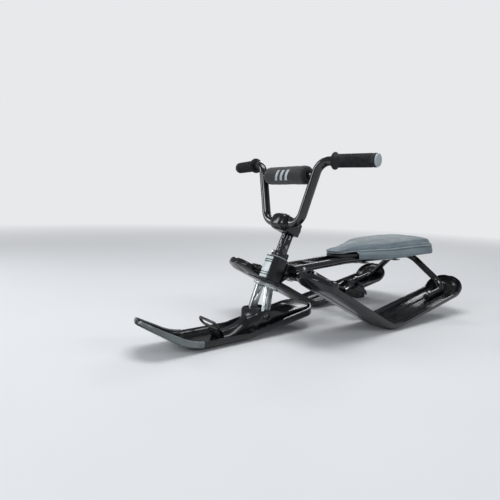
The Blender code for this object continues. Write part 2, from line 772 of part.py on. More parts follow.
def build_saddle(word, seat, root):
    """Block in the ski's channel that grips the cross tube, with a bolt ahead of it and behind."""
    half = SADDLE_BOLT_OFFSET + SMALL_HEAD_RADIUS + 0.001
    shoulder = TUBE_RADIUS + SADDLE_WALL
    outline = [(-half, 0), (half, 0), (half, SADDLE_LIP), (shoulder, SADDLE_LIP)]
    steps = 6
    for k in range(steps + 1):
        angle = math.pi * k / steps
        outline.append((shoulder * math.cos(angle), SADDLE_TUBE_HEIGHT + shoulder * math.sin(angle)))
    outline += [(-shoulder, SADDLE_LIP), (-half, SADDLE_LIP)]
    shape = placed(prism(outline, -SADDLE_WIDTH / 2, SADDLE_WIDTH / 2), seat @ side_view())
    saddle = add("saddle_" + word, shape, root, "plastic")
    holes = [rod(seat @ Vector((-SADDLE_WIDTH, 0, SADDLE_TUBE_HEIGHT)),
                 seat @ Vector((SADDLE_WIDTH, 0, SADDLE_TUBE_HEIGHT)), TUBE_RADIUS + GAP, FINE)]
    for place, offset in (("front", -SADDLE_BOLT_OFFSET), ("rear", SADDLE_BOLT_OFFSET)):
        top = Vector((0, offset, SADDLE_LIP))
        holes.append(rod(seat @ Vector((0, offset, -0.002)), seat @ Vector((0, offset, SADDLE_LIP + 0.002)),
                         SMALL_BOLT_RADIUS + GAP, ROUND))
        bolt("saddle_bolt_%s_%s" % (place, word), root, seat @ Matrix.Translation(top),
             SADDLE_LIP + GAP + SKI_FLOOR * 0.75)
    cut(saddle, holes, "holes_in_saddle_" + word)


# Steering head, fixed to the frame. Built in the axes of the steering axis: +Z up along it, -Y forward

def build_head(axis):
    add("head_tube", sleeve(circle(HEAD_RADIUS, HEAD_SIDES),
                            circle(STEERER_RADIUS + 2 * RUN + 0.0022, HEAD_SIDES), HEAD_BOTTOM, HEAD_TOP),
        axis, "painted")
    spigot = STEERER_RADIUS + 2 * RUN + 0.0022 - GAP
    inner = STEERER_RADIUS + RUN
    lower_flange = HEAD_BOTTOM - CROWN_TOP - RUN
    for word, seat, way, flange in (("lower", HEAD_BOTTOM, -1, lower_flange), ("upper", HEAD_TOP, 1, BUSH_FLANGE)):
        profile = [(inner, seat - way * BUSH_DEPTH), (spigot, seat - way * BUSH_DEPTH), (spigot, seat + way * GAP),
                   (BUSH_FLANGE_RADIUS, seat + way * GAP), (BUSH_FLANGE_RADIUS, seat + way * flange),
                   (inner, seat + way * flange)]
        add(word + "_bush", turned_ring(profile, HEAD_SIDES), axis, "pale_plastic")
    add("head_cover", prism(cover_outline(), HEAD_BOTTOM + GAP, HEAD_TOP - GAP), axis, "plastic", 0.0012)
    front = -COVER_FRONT - GAP
    height = HEAD_LENGTH - 0.008
    middle = (HEAD_BOTTOM + HEAD_TOP) / 2
    label = placed(prism(rounded_rectangle(LABEL_WIDTH / 2, height / 2, 0.003, 16), 0, LABEL_THICKNESS),
                   Matrix.Translation((0, front, middle)) @ Matrix.Rotation(math.pi / 2, 4, "X"))
    add("label_plate", label, axis, "pale_plastic")
    add("head_visor", visor_shape(), axis, "plastic")


def cover_outline():
    """C-shaped outline around the front of the head tube."""
    flat = LABEL_WIDTH / 2 + 0.001
    outline = [(COVER_HALF_WIDTH, COVER_BACK), (COVER_HALF_WIDTH, -COVER_FRONT * 0.55), (flat, -COVER_FRONT),
               (-flat, -COVER_FRONT), (-COVER_HALF_WIDTH, -COVER_FRONT * 0.55), (-COVER_HALF_WIDTH, COVER_BACK)]
    inner = HEAD_RADIUS + GAP
    start = math.pi - math.asin(COVER_BACK / inner)
    end = 2 * math.pi + math.asin(COVER_BACK / inner)
    steps = 18
    outline += [(inner * math.cos(start + (end - start) * k / steps),
                 inner * math.sin(start + (end - start) * k / steps)) for k in range(steps + 1)]
    return outline


def visor_shape():
    """Beak at the foot of the head cover: a ring around the head that runs out to a point ahead."""
    sides = 28
    inner = BUSH_FLANGE_RADIUS + 0.0006
    outer_bottom = []
    outer_top = []
    inner_bottom = []
    inner_top = []
    base = HEAD_BOTTOM - VISOR_THICKNESS
    roof = HEAD_BOTTOM
    for k in range(sides):
        angle = 2 * math.pi * k / sides
        x = math.cos(angle)
        y = math.sin(angle)
        forward = max(0.0, -y)
        reach = COVER_HALF_WIDTH + 0.001 + (VISOR_REACH - COVER_HALF_WIDTH) * forward ** 3
        narrow = 1 - 0.55 * forward ** 2
        outer_bottom.append((x * (COVER_HALF_WIDTH + 0.001) * narrow * (1 + 0.35 * forward), y * reach, base))
        outer_top.append((x * (COVER_HALF_WIDTH + 0.001) * narrow * (1 + 0.35 * forward), y * reach,
                          roof - (VISOR_THICKNESS - 0.003) * forward ** 3))
        inner_bottom.append((x * inner, y * inner, base))
        inner_top.append((x * inner, y * inner, roof))
    return loft([outer_bottom, outer_top, inner_top, inner_bottom], closed=True)


# Steering, turns about the axis

def post_outline(grow, sides=HEAD_SIDES):
    return rounded_rectangle(POST_WIDTH / 2 + grow, POST_DEPTH / 2 + grow, POST_CORNER + grow, sides)


def build_steering(axis):
    steerer_hole = rounded_rectangle(POST_WIDTH / 2 + SLIDE, POST_DEPTH / 2 + SLIDE, POST_CORNER + SLIDE,
                                     HEAD_SIDES)
    add("steerer", sleeve(circle(STEERER_RADIUS, HEAD_SIDES), steerer_hole, CROWN_BOTTOM, STEERER_TOP), axis,
        "steel")
    collar = add("height_collar", sleeve(circle(COLLAR_RADIUS, HEAD_SIDES), steerer_hole, COLLAR_BOTTOM,
                                         COLLAR_TOP), axis, "plastic")
    cut(collar, [bore((0, -POST_DEPTH / 2, PIN_Z), (0, -COLLAR_RADIUS, PIN_Z), PIN_RADIUS + RUN)],
        "pin_hole_in_height_collar")
    crown_hole = circle(STEERER_RADIUS + GAP, HEAD_SIDES)
    outline = []
    for x, y in circle(CROWN_RADIUS, HEAD_SIDES):
        forward = max(0.0, -y / CROWN_RADIUS)
        outline.append((x, y - (CROWN_REACH - CROWN_RADIUS) * forward ** 2))
    add("fork_crown", sleeve(outline, crown_hole, CROWN_BOTTOM, CROWN_TOP), axis, "steel")
    outer_x = LEG_TOP_X
    pivot_x = TOWER_HALF_WIDTH + TOWER_SIDE_GAP
    for word, side in SIDES:
        leg = add("fork_leg_" + word, leg_shape(side, outer_x, pivot_x), axis, "steel")
        cut(leg, [bore((side * pivot_x, 0, -PIVOT_DROP), (side * (pivot_x + LEG_FLANGE), 0, -PIVOT_DROP),
                       PIVOT_BOLT_RADIUS + GAP)], "pivot_hole_in_fork_leg_" + word)
    web = pivot_x + LEG_WEB
    length = 2 * web + 0.007
    head = LEG_WIDTH / 2 - LEG_WEB - 0.001
    bolt("ski_pivot_bolt", axis, Matrix.Translation((web, 0, -PIVOT_DROP)) @ along((1, 0, 0)), length,
         PIVOT_BOLT_RADIUS, head, 0.0062)
    nut("ski_pivot_nut", axis, Matrix.Translation((-web, 0, -PIVOT_DROP)) @ along((-1, 0, 0)),
        PIVOT_BOLT_RADIUS, head, 0.006)


def leg_shape(side, top_x, pivot_x):
    """Channel-shaped fork leg, open outwards, that leans back and splays out to the ski pivot."""
    top_z = CROWN_BOTTOM - GAP
    bottom_z = -PIVOT_DROP - LEG_END
    rings = []
    for z in (top_z, -PIVOT_DROP + LEG_END, -PIVOT_DROP - LEG_END * 0.45, bottom_z):
        share = min(1.0, (top_z - z) / (top_z + PIVOT_DROP - LEG_END))
        inner = top_x + (pivot_x - top_x) * share
        middle = -LEG_OFFSET * (top_z - max(z, -PIVOT_DROP) - (top_z + PIVOT_DROP)) / -(top_z + PIVOT_DROP)
        half = LEG_WIDTH / 2 * (0.55 if z == bottom_z else 1.0)
        wall = LEG_WEB
        section = [(inner, -half), (inner, half), (inner + LEG_FLANGE, half), (inner + LEG_FLANGE, half - wall),
                   (inner + wall, half - wall), (inner + wall, -half + wall), (inner + LEG_FLANGE, -half + wall),
                   (inner + LEG_FLANGE, -half)]
        rings.append([(side * x, middle + y, z) for x, y in section])
    return loft(rings)


def build_pin(parent):
    """Spring pin through the collar's front, with a knob to pull it by. Its axes are the steering axis's."""
    tip = -POST_DEPTH / 2 - GAP
    seat = -COLLAR_RADIUS - GAP
    length = seat - tip
    profile = [(0, length), (PIN_RADIUS * 0.6, length), (PIN_RADIUS, length + 0.0012), (PIN_RADIUS, 0),
               (PIN_KNOB_RADIUS, 0), (PIN_KNOB_RADIUS, PIN_REACH * 0.75), (PIN_KNOB_RADIUS * 0.7, PIN_REACH),
               (0, PIN_REACH)]
    shape = placed(lathe(profile, ROUND), Matrix.Translation((0, seat, PIN_Z)) @ along((0, -1, 0)))
    add("height_pin", shape, parent, "steel")


# Handlebar on its post, slides along the steering axis

def bar_centre():
    """World place of the middle of the bar where the clamp holds it."""
    y, z = head_point(-BAR_FORWARD, BAR_ALONG)
    return Vector((0, y, z))


def bar_place(x, back, rise):
    return bar_centre() + Vector((x, back, rise))


def grip_ends():
    """World places of a left grip's inner and outer end."""
    return (bar_place(GRIP_START_X, GRIP_BACK, GRIP_RISE),
            bar_place(GRIP_END_X, GRIP_BACK + GRIP_SWEEP, GRIP_RISE - 0.002))


def shoulder():
    """Corner where the bar's arm turns outwards into the grip."""
    inner, outer = grip_ends()
    share = (BAR_SHOULDER_X - inner.x) / (outer.x - inner.x)
    return inner.lerp(outer, share)


def bar_path():
    left = [bar_place(BAR_CORNER_X, 0, 0), shoulder(), grip_ends()[1]]
    right = [Vector((-p.x, p.y, p.z)) for p in left[::-1]]
    return rounded_path(right + left, BAR_BEND_RADIUS)


def arm_at(rise):
    """World place on the left arm's centre line at a rise above the clamp."""
    foot = bar_place(BAR_CORNER_X, 0, 0)
    head = shoulder()
    return foot.lerp(head, rise / (head.z - foot.z))


def build_bar(post_axes, to_local):
    """Everything on the bar post. to_local turns world places into the post's own axes."""
    post = add("bar_post", sleeve(post_outline(0), post_outline(-POST_WALL), POST_BOTTOM, POST_TOP), post_axes,
               "painted")
    front = -POST_DEPTH / 2
    holes = [rod((0, front - 0.002, PIN_Z + STEP * k), (0, front + POST_WALL + 0.001, PIN_Z + STEP * k),
                 HOLE_RADIUS, ROUND) for k in range(-1, HOLE_COUNT - 1)]
    cut(post, holes, "height_holes_in_bar_post")
    build_clamp(post_axes)
    bar = add("handlebar", placed(sweep(bar_path(), BAR_RADIUS, ROUND), to_local), post_axes, "painted")
    arm = arm_at(CROSSBAR_RISE)
    crossbar = rod((-arm.x, arm.y, arm.z), (arm.x, arm.y, arm.z), CROSSBAR_RADIUS, ROUND)
    weld(bar, [placed(crossbar, to_local)], "crossbar")
    pad_half = arm_at(CROSSBAR_RISE - PAD_RADIUS).x - BAR_RADIUS * 1.1 - 0.001
    inner = CROSSBAR_RADIUS + GAP
    rim = PAD_RADIUS * 0.82
    profile = [(inner, -pad_half), (rim, -pad_half), (PAD_RADIUS, -pad_half + 0.006),
               (PAD_RADIUS, pad_half - 0.006), (rim, pad_half), (inner, pad_half)]
    lay = Matrix.Translation((0, arm.y, arm.z)) @ Matrix.Rotation(math.pi / 2, 4, "Y")
    add("bar_pad", placed(turned_ring(profile, FINE), to_local @ lay), post_axes, "foam")
    inner_end, outer_end = grip_ends()
    length = (outer_end - inner_end).length
    hold = BAR_RADIUS + GAP
    for word, side in SIDES:
        start = Vector((side * inner_end.x, inner_end.y, inner_end.z))
        end = Vector((side * outer_end.x, outer_end.y, outer_end.z))
        lay = Matrix.Translation(start) @ along((end - start).normalized())
        profile = [(hold, 0), (GRIP_FLANGE_RADIUS, 0), (GRIP_FLANGE_RADIUS, 0.003), (GRIP_RADIUS, 0.0055),
                   (GRIP_RADIUS * 0.95, length * 0.5), (GRIP_RADIUS, length - 0.003),
                   (GRIP_RADIUS * 0.93, length), (hold, length)]
        add("grip_" + word, placed(turned_ring(profile, FINE), to_local @ lay), post_axes, "rubber")
        cap = [(0, length + GAP), (GRIP_RADIUS * 0.93, length + GAP),
               (GRIP_RADIUS * 0.93, length + PLUG_THICKNESS * 0.6), (GRIP_RADIUS * 0.7, length + PLUG_THICKNESS),
               (0, length + PLUG_THICKNESS)]
        add("end_plug_" + word, placed(lathe(cap, FINE), to_local @ lay), post_axes, "pale_plastic")


def build_clamp(axes):
    """Clamp body on the post's top, cap ahead of the bar, two bolts and the round knob behind."""
    body_front = -BAR_FORWARD + GAP / 2
    low = BAR_ALONG - CLAMP_HALF_HEIGHT
    high = BAR_ALONG + CLAMP_HALF_HEIGHT
    rear = CLAMP_BACK
    outline = [(body_front, low), (rear, low), (rear, high - 0.008), (rear - 0.010, high),
               (body_front, high)]
    half = CLAMP_HALF_WIDTH
    body = add("clamp_body", placed(prism(outline, -half, half), side_view()), axes, "plastic", 0.0012)
    bar_hole = rod((-half - 0.002, -BAR_FORWARD, BAR_ALONG), (half + 0.002, -BAR_FORWARD, BAR_ALONG),
                   BAR_RADIUS + GAP, FINE)
    socket = prism(post_outline(GAP), low - 0.002, POST_TOP + GAP)
    bolt_height = BAR_RADIUS + SMALL_BOLT_RADIUS + 0.0022
    depth = CLAMP_CAP_THICKNESS + 0.012
    face = body_front - GAP - CLAMP_CAP_THICKNESS
    seats = [Matrix.Translation((0, face, BAR_ALONG + way * bolt_height)) @ along((0, -1, 0))
             for way in (-1, 1)]
    bolt_holes = [rod(seat @ Vector((0, 0, 0.002)), seat @ Vector((0, 0, -depth - GAP)),
                      SMALL_BOLT_RADIUS + GAP, ROUND) for seat in seats]
    cut(body, [bar_hole], "bar_seat_in_clamp_body")
    cut(body, [socket], "post_socket_in_clamp_body")
    cut(body, bolt_holes, "bolt_holes_in_clamp_body")
    back = body_front - GAP
    cap_outline = [(back, low + 0.002), (back, high - 0.002), (face + 0.006, high - 0.002),
                   (face, high - 0.007), (face, low + 0.007), (face + 0.006, low + 0.002)]
    cap = add("clamp_cap", placed(prism(cap_outline, -half + 0.002, half - 0.002), side_view()), axes, "plastic",
              0.0012)
    cut(cap, [bar_hole], "bar_seat_in_clamp_cap")
    cut(cap, bolt_holes, "bolt_holes_in_clamp_cap")
    for word, seat in zip(("lower", "upper"), seats):
        bolt("clamp_bolt_" + word, axes, seat, depth)
    knob = [(0, GAP), (KNOB_RADIUS * 0.75, GAP), (KNOB_RADIUS, KNOB_LENGTH * 0.25),
            (KNOB_RADIUS, KNOB_LENGTH * 0.7), (KNOB_RADIUS * 0.7, KNOB_LENGTH), (0, KNOB_LENGTH)]
    add("clamp_knob", placed(lathe(knob, FINE), Matrix.Translation((0, rear, BAR_ALONG + 0.001))
                             @ along((0, 1, 0))), axes, "pale_plastic")


# Front ski, rocks about the bolt across the fork

def line_over_keel(stations, y, height):
    """Height at y of a line that runs a given height over the keel, and the ski's share of width there."""
    line = [(*above_keel(s, height), s[3]) for s in stations]
    for before, after in zip(line, line[1:]):
        if before[0] <= y <= after[0]:
            share = (y - before[0]) / (after[0] - before[0])
            return before[1] + (after[1] - before[1]) * share, before[2] + (after[2] - before[2]) * share
    raise ValueError("y is off the ski")


def hull_foot(stations, y):
    """Height just over the ski's floor, which lifts where the tip closes, and the share of width."""
    share = line_over_keel(stations, y, FRONT_FLOOR * 1.8)[1]
    lift = (FRONT_RIM_TAIL - FRONT_FLOOR) * ((1 - share) / (1 - math.sin(TIP_END))) ** 2
    return line_over_keel(stations, y, FRONT_FLOOR + GAP + lift)[0], share


def hull_top(stations, y):
    """Height of the hull's top edge: a bow that sweeps up to the crest, then a deck that follows the rims."""
    pivot = pivot_place()
    crest = pivot.z + TOWER_HEAD
    bow = pivot.y - HULL_BOW
    low = hull_foot(stations, bow)[0] + HULL_BOW_HEIGHT
    if y < pivot.y - HULL_PEAK:
        return low + (crest - low) * ((y - bow) / (HULL_BOW - HULL_PEAK)) ** 2.2
    deck = line_over_keel(stations, y, FRONT_RIM_TAIL)[0] + HULL_DECK_RISE
    return crest + (deck - crest) * ease((y - pivot.y - LEG_WIDTH) / (BOWL_BACK * 0.45))


def hull_half_width(y):
    pivot = pivot_place()
    shoulder = ease((y - pivot.y + HULL_SHOULDER) / HULL_SHOULDER_LENGTH + 0.5)
    tail = ease((y - pivot.y - BOWL_BACK * 0.75) / (BOWL_BACK * 0.4))
    return (HULL_BOW_HALF_WIDTH + (HULL_HALF_WIDTH - HULL_BOW_HALF_WIDTH) * shoulder
            + (HULL_TAIL_HALF_WIDTH - HULL_HALF_WIDTH) * tail)


def spread(first, last, count):
    return [first + (last - first) * k / count for k in range(count)]


def hull_shape(stations):
    """Outside of the hull, filled: narrow bow, cheeks round the fork's ends, and a deck that closes the tail."""
    pivot = pivot_place()
    widening = pivot.y - HULL_SHOULDER - HULL_SHOULDER_LENGTH / 2
    wide = widening + HULL_SHOULDER_LENGTH
    tail = pivot.y + HULL_TAIL
    rings = []
    for y in (spread(pivot.y - HULL_BOW, widening, 4) + spread(widening, wide, 4) + spread(wide, tail, 9) + [tail]):
        low, share = hull_foot(stations, y)
        high = hull_top(stations, y)
        edge = hull_half_width(y)
        foot = min(edge + HULL_FLARE, HULL_FOOT_HALF_WIDTH)
        right = [(foot * 0.85, low), (foot, low + 0.0012), (edge + (foot - edge) * 0.35, low + (high - low) * 0.5),
                 (edge, high - 0.003), (edge - 0.003, high)]
        close = share ** 1.5
        rings.append([(x * close, y, z) for x, z in right] + [(-x * close, y, z) for x, z in right[::-1]])
    return loft(rings)


def bowl_shape(stations):
    """Cutter for the open bowl that the fork's ends stand in, which runs out in the deck."""
    pivot = pivot_place()
    front = pivot.y - BOWL_FRONT
    back = pivot.y + BOWL_BACK
    inside = HULL_HALF_WIDTH - HULL_WALL
    rings = []
    for y in spread(front, front + HULL_WALL, 1) + spread(front + HULL_WALL, back, 6) + [back]:
        closing = ease((y - back) / (BOWL_BACK * 0.4) + 1)
        half = inside + (BOWL_END_HALF_WIDTH - inside) * closing ** 2 - (HULL_WALL if y == front else 0)
        low = hull_foot(stations, y)[0] + HULL_FLOOR
        low += (hull_top(stations, y) - HULL_FOOT_HALF_WIDTH * 0.2 - low) * closing
        right = [(half - 0.003, low), (half, low + 0.003), (half, pivot.z + 2 * HULL_HALF_WIDTH)]
        rings.append([(x, y, z) for x, z in right] + [(-x, y, z) for x, z in right[::-1]])
    return loft(rings)


def tower_outline(stations):
    """Side outline (y, z) of the tower between the fork's ends, from the bow to the bowl's floor."""
    pivot = pivot_place()
    front = pivot.y - TOWER_FRONT_REACH
    back = pivot.y + TOWER_BACK_REACH
    crest = pivot.z + TOWER_HEAD - 0.0006
    base = [(y, hull_foot(stations, y)[0] + HULL_FLOOR * 0.5) for y in spread(front, back, 2) + [back]]
    roof = [(back - 0.006, base[-1][1] + 0.008), (pivot.y + 0.036, crest - 0.016), (pivot.y + 0.020, crest - 0.005),
            (pivot.y + 0.006, crest), (front, crest)]
    return base + roof


def build_front_ski(axes):
    pivot = pivot_place()
    to_local = Matrix.Translation(-pivot)
    stations = front_keel()
    add("front_ski", placed(ski_shape(stations, FRONT_SKI_WIDTH / 2, FRONT_FLOOR, FRONT_RIM_NOSE,
                                      FRONT_RIM_TAIL, False), to_local), axes, "plastic")
    half = TOWER_HALF_WIDTH
    tower = add("ski_tower", placed(hull_shape(stations), to_local), axes, "plastic")
    cut(tower, [placed(bowl_shape(stations), to_local)], "bowl_in_hull")
    weld(tower, [placed(prism(tower_outline(stations), -half, half), to_local @ side_view())], "tower_in_hull")
    inside = HULL_HALF_WIDTH - 2 * HULL_WALL
    windows = [bore((side * inside, 0, 0), (side * (HULL_FOOT_HALF_WIDTH + 0.003), 0, 0), BOLT_WINDOW_RADIUS, 16)
               for word, side in SIDES]
    cut(tower, windows, "bolt_windows")
    outer = PIVOT_BOLT_RADIUS + RUN + PIVOT_BUSH_WALL
    cut(tower, [bore((-half, 0, 0), (half, 0, 0), outer + GAP, FINE)], "pivot_hole_in_ski_tower")
    length = half + TOWER_SIDE_GAP - GAP
    add("pivot_bush", placed(sleeve(circle(outer, FINE), circle(PIVOT_BOLT_RADIUS + RUN, FINE), -length,
                                    length), along((1, 0, 0))), axes, "pale_plastic")
    build_handle(axes, to_local, stations)


def build_handle(axes, to_local, stations):
    """Loop handle for towing, held by the plug it is docked on."""
    straight = HANDLE_HALF_LENGTH - HANDLE_HALF_HEIGHT
    path = []
    steps = 8
    for end, start in ((1, -math.pi / 2), (-1, math.pi / 2)):
        for k in range(steps + 1):
            angle = start + math.pi * k / steps
            path.append(Vector((end * straight + HANDLE_HALF_HEIGHT * math.cos(angle), 0,
                                HANDLE_HALF_HEIGHT * math.sin(angle))))
    lay = Matrix.Translation((0, HANDLE_Y, HANDLE_Z)) @ Matrix.Rotation(HANDLE_LEAN, 4, "X")
    add("tow_handle", placed(sweep(path, HANDLE_BAR, 10, closed=True), to_local @ lay), axes, "plastic")
    bottom = lay @ Vector((0, 0, -HANDLE_HALF_HEIGHT - HANDLE_BAR - GAP))
    down = (lay.to_3x3() @ Vector((0, 0, -1))).normalized()
    floor_y, floor_z = bottom.y, FRONT_FLOOR + GAP
    height = (bottom.z - floor_z) / -down.z
    outline = rounded_rectangle(0.011, 0.006, 0.003, 16)
    plug_rings = []
    for distance, grow in ((0.0, 1.0), (height * 0.5, 1.25), (height, 1.6)):
        middle = bottom + down * distance
        ring = []
        for x, y in outline:
            place = lay.to_3x3() @ Vector((x * grow, y * grow, 0))
            point = middle + place
            if distance == height:
                point = Vector((point.x, point.y, floor_z))
            ring.append(point)
        plug_rings.append(ring)
    add("handle_plug", placed(loft(plug_rings), to_local), axes, "plastic")


# Seat

def ease(t):
    t = min(1.0, max(0.0, t))
    return t * t * (3 - 2 * t)


def seat_half_width(y, inset=0.0):
    """Half width of the seat: a narrow nose that widens at the thighs, both ends rounded."""
    nose = SEAT_NOSE_HALF_WIDTH
    waist = ease((y - SEAT_WAIST_Y) / SEAT_WAIST_LENGTH + 0.5)
    width = nose + (SEAT_HALF_WIDTH - nose) * waist
    front = (y - SEAT_NOSE_Y - inset) / nose
    back = (SEAT_TAIL_Y - inset - y) / (SEAT_HALF_WIDTH * 0.62)
    for reach, power in ((front, 2.0), (back, 2.6)):
        if reach < 1:
            width *= (1 - (1 - max(reach, 0.0)) ** power) ** (1 / power)
    return width - inset


def seat_stations(inset, end_share):
    """Places along the seat, closer together at its rounded ends."""
    first = SEAT_NOSE_Y + inset + end_share * SEAT_NOSE_HALF_WIDTH
    last = SEAT_TAIL_Y - inset - end_share * SEAT_HALF_WIDTH * 0.62
    count = 24
    return [first + (last - first) * (1 - math.cos(math.pi * k / count)) / 2 for k in range(count + 1)]


def build_seat(root):
    level = seat_level()
    outline = [(seat_half_width(y, PAN_INSET), y) for y in seat_stations(PAN_INSET, 0.05)]
    outline += [(-x, y) for x, y in outline[::-1]]
    pan = add("seat_pan", prism(outline, level, level + PAN_THICKNESS), root, "plastic")
    tube_bottom = top_tube_z(TUBE_BEND_Y) - TUBE_RADIUS - GAP
    under = tube_bottom - STRAP_THICKNESS
    reach = TUBE_X + TUBE_RADIUS + 0.004
    top = level + PAN_THICKNESS - 0.0015
    pan_holes = []
    for word, y in zip(("front", "rear"), STRAP_STATIONS):
        half = STRAP_WIDTH / 2
        strap = add("seat_strap_" + word, prism([(-reach, y - half), (reach, y - half), (reach, y + half),
                                                 (-reach, y + half)], under, tube_bottom), root, "steel", 0.0008)
        cut(strap, [bore((0, y, under), (0, y, tube_bottom), STRAP_BOLT_RADIUS + GAP)],
            "hole_in_seat_strap_" + word)
        bolt("seat_bolt_" + word, root, Matrix.Translation((0, y, under)) @ Matrix.Rotation(math.pi, 4, "X"),
             top - under - GAP, STRAP_BOLT_RADIUS)
        pan_holes.append(rod((0, y, level - 0.002), (0, y, top), STRAP_BOLT_RADIUS + GAP, ROUND))
    cut(pan, pan_holes, "bolt_holes_in_seat_pan")
    build_cushion(root, level + PAN_THICKNESS + GAP)


def build_cushion(root, base):
    """Cushion with a crowned top, drawn-in sides, a seam groove around the top and one along each side."""
    rings = []
    stations = seat_stations(0.0, 0.05)
    length = SEAT_TAIL_Y - SEAT_NOSE_Y
    for y in stations:
        t = (y - SEAT_NOSE_Y) / length
        width = seat_half_width(y)
        height = CUSHION_NOSE_HEIGHT + (CUSHION_HEIGHT - CUSHION_NOSE_HEIGHT) * math.sin(
            math.pi / 2 * min(1.0, t / 0.72)) ** 1.3
        height -= 0.008 * max(0.0, (t - 0.8) / 0.2) ** 2
        band = height * 0.58
        full = min(1.0, width / 0.06)
        round_end = 0.55 + 0.45 * full
        height *= round_end
        band *= round_end
        half = [(width - 0.005, 0.0), (width - 0.001, 0.004), (width, band * 0.5), (width - 0.0025, band),
                (width - 0.006, band - 0.0015), (width - 0.010, band + 0.002),
                (width * 0.80, band + (height - band) * 0.62), (width * 0.60, band + (height - band) * 0.86),
                (width * 0.56, band + (height - band) * 0.84), (width * 0.50, band + (height - band) * 0.93),
                (width * 0.25, height * 0.995), (0.0, height)]
        section = half + [(-x, h) for x, h in half[-2::-1]]
        rings.append([(x, y, base + h) for x, h in section])
    add("seat_cushion", loft(rings), root, "vinyl", sharp=math.radians(60))


# Foot brake, swings about the bolt under the top tubes

def build_brake_mount(root):
    pivot = brake_place()
    inner = TUBE_X - TUBE_RADIUS - GAP
    top = top_tube_z(pivot.y) + TUBE_RADIUS * 0.8
    neck = pivot.z + EYE_RADIUS + 0.004
    low = pivot.z - EYE_RADIUS
    stem = HANGER_STEM_HALF
    outline = [(-inner, top), (inner, top), (inner, neck), (stem, neck), (stem, low), (-stem, low), (-stem, neck),
               (-inner, neck)]
    front = pivot.y - HANGER_LENGTH / 2
    stand = Matrix.Translation((0, front + HANGER_LENGTH, 0)) @ Matrix.Rotation(math.pi / 2, 4, "X")
    hanger = add("brake_hanger", placed(prism(outline, 0, HANGER_LENGTH), stand), root, "painted", 0.0008)
    cut(hanger, [bore((-stem, pivot.y, pivot.z), (stem, pivot.y, pivot.z), BRAKE_BOLT_RADIUS + GAP)],
        "bolt_hole_in_brake_hanger")
    rivet("brake_rivet", root, Matrix.Translation(pivot), arm_outside() + GAP, BRAKE_BOLT_RADIUS,
          BRAKE_HEAD_RADIUS, SMALL_HEAD_HEIGHT)
    spring_path = []
    per_turn = 14
    start_x = stem + 2 * SPRING_WIRE
    pitch = 2 * SPRING_WIRE + 0.0006
    radius = BRAKE_BOLT_RADIUS + SPRING_WIRE + 0.0006
    for k in range(SPRING_TURNS * per_turn + 1):
        angle = 2 * math.pi * k / per_turn
        spring_path.append((start_x + pitch * k / per_turn, pivot.y + radius * math.cos(angle),
                            pivot.z + radius * math.sin(angle)))
    add("brake_spring", sweep(spring_path, SPRING_WIRE, 8), root, "steel")


def arm_inside():
    return TUBE_X - TUBE_RADIUS + 0.0005


def arm_outside():
    return arm_inside() + ARM_THICKNESS


def claw_axes():
    """Unit vectors (y, z) down the claw plate and square to it, on its upper rear face."""
    down = Vector((CLAW_TIP_Y - CLAW_TOP_Y, CLAW_TIP_Z - CLAW_TOP_Z)).normalized()
    return down, Vector((-down.y, down.x))


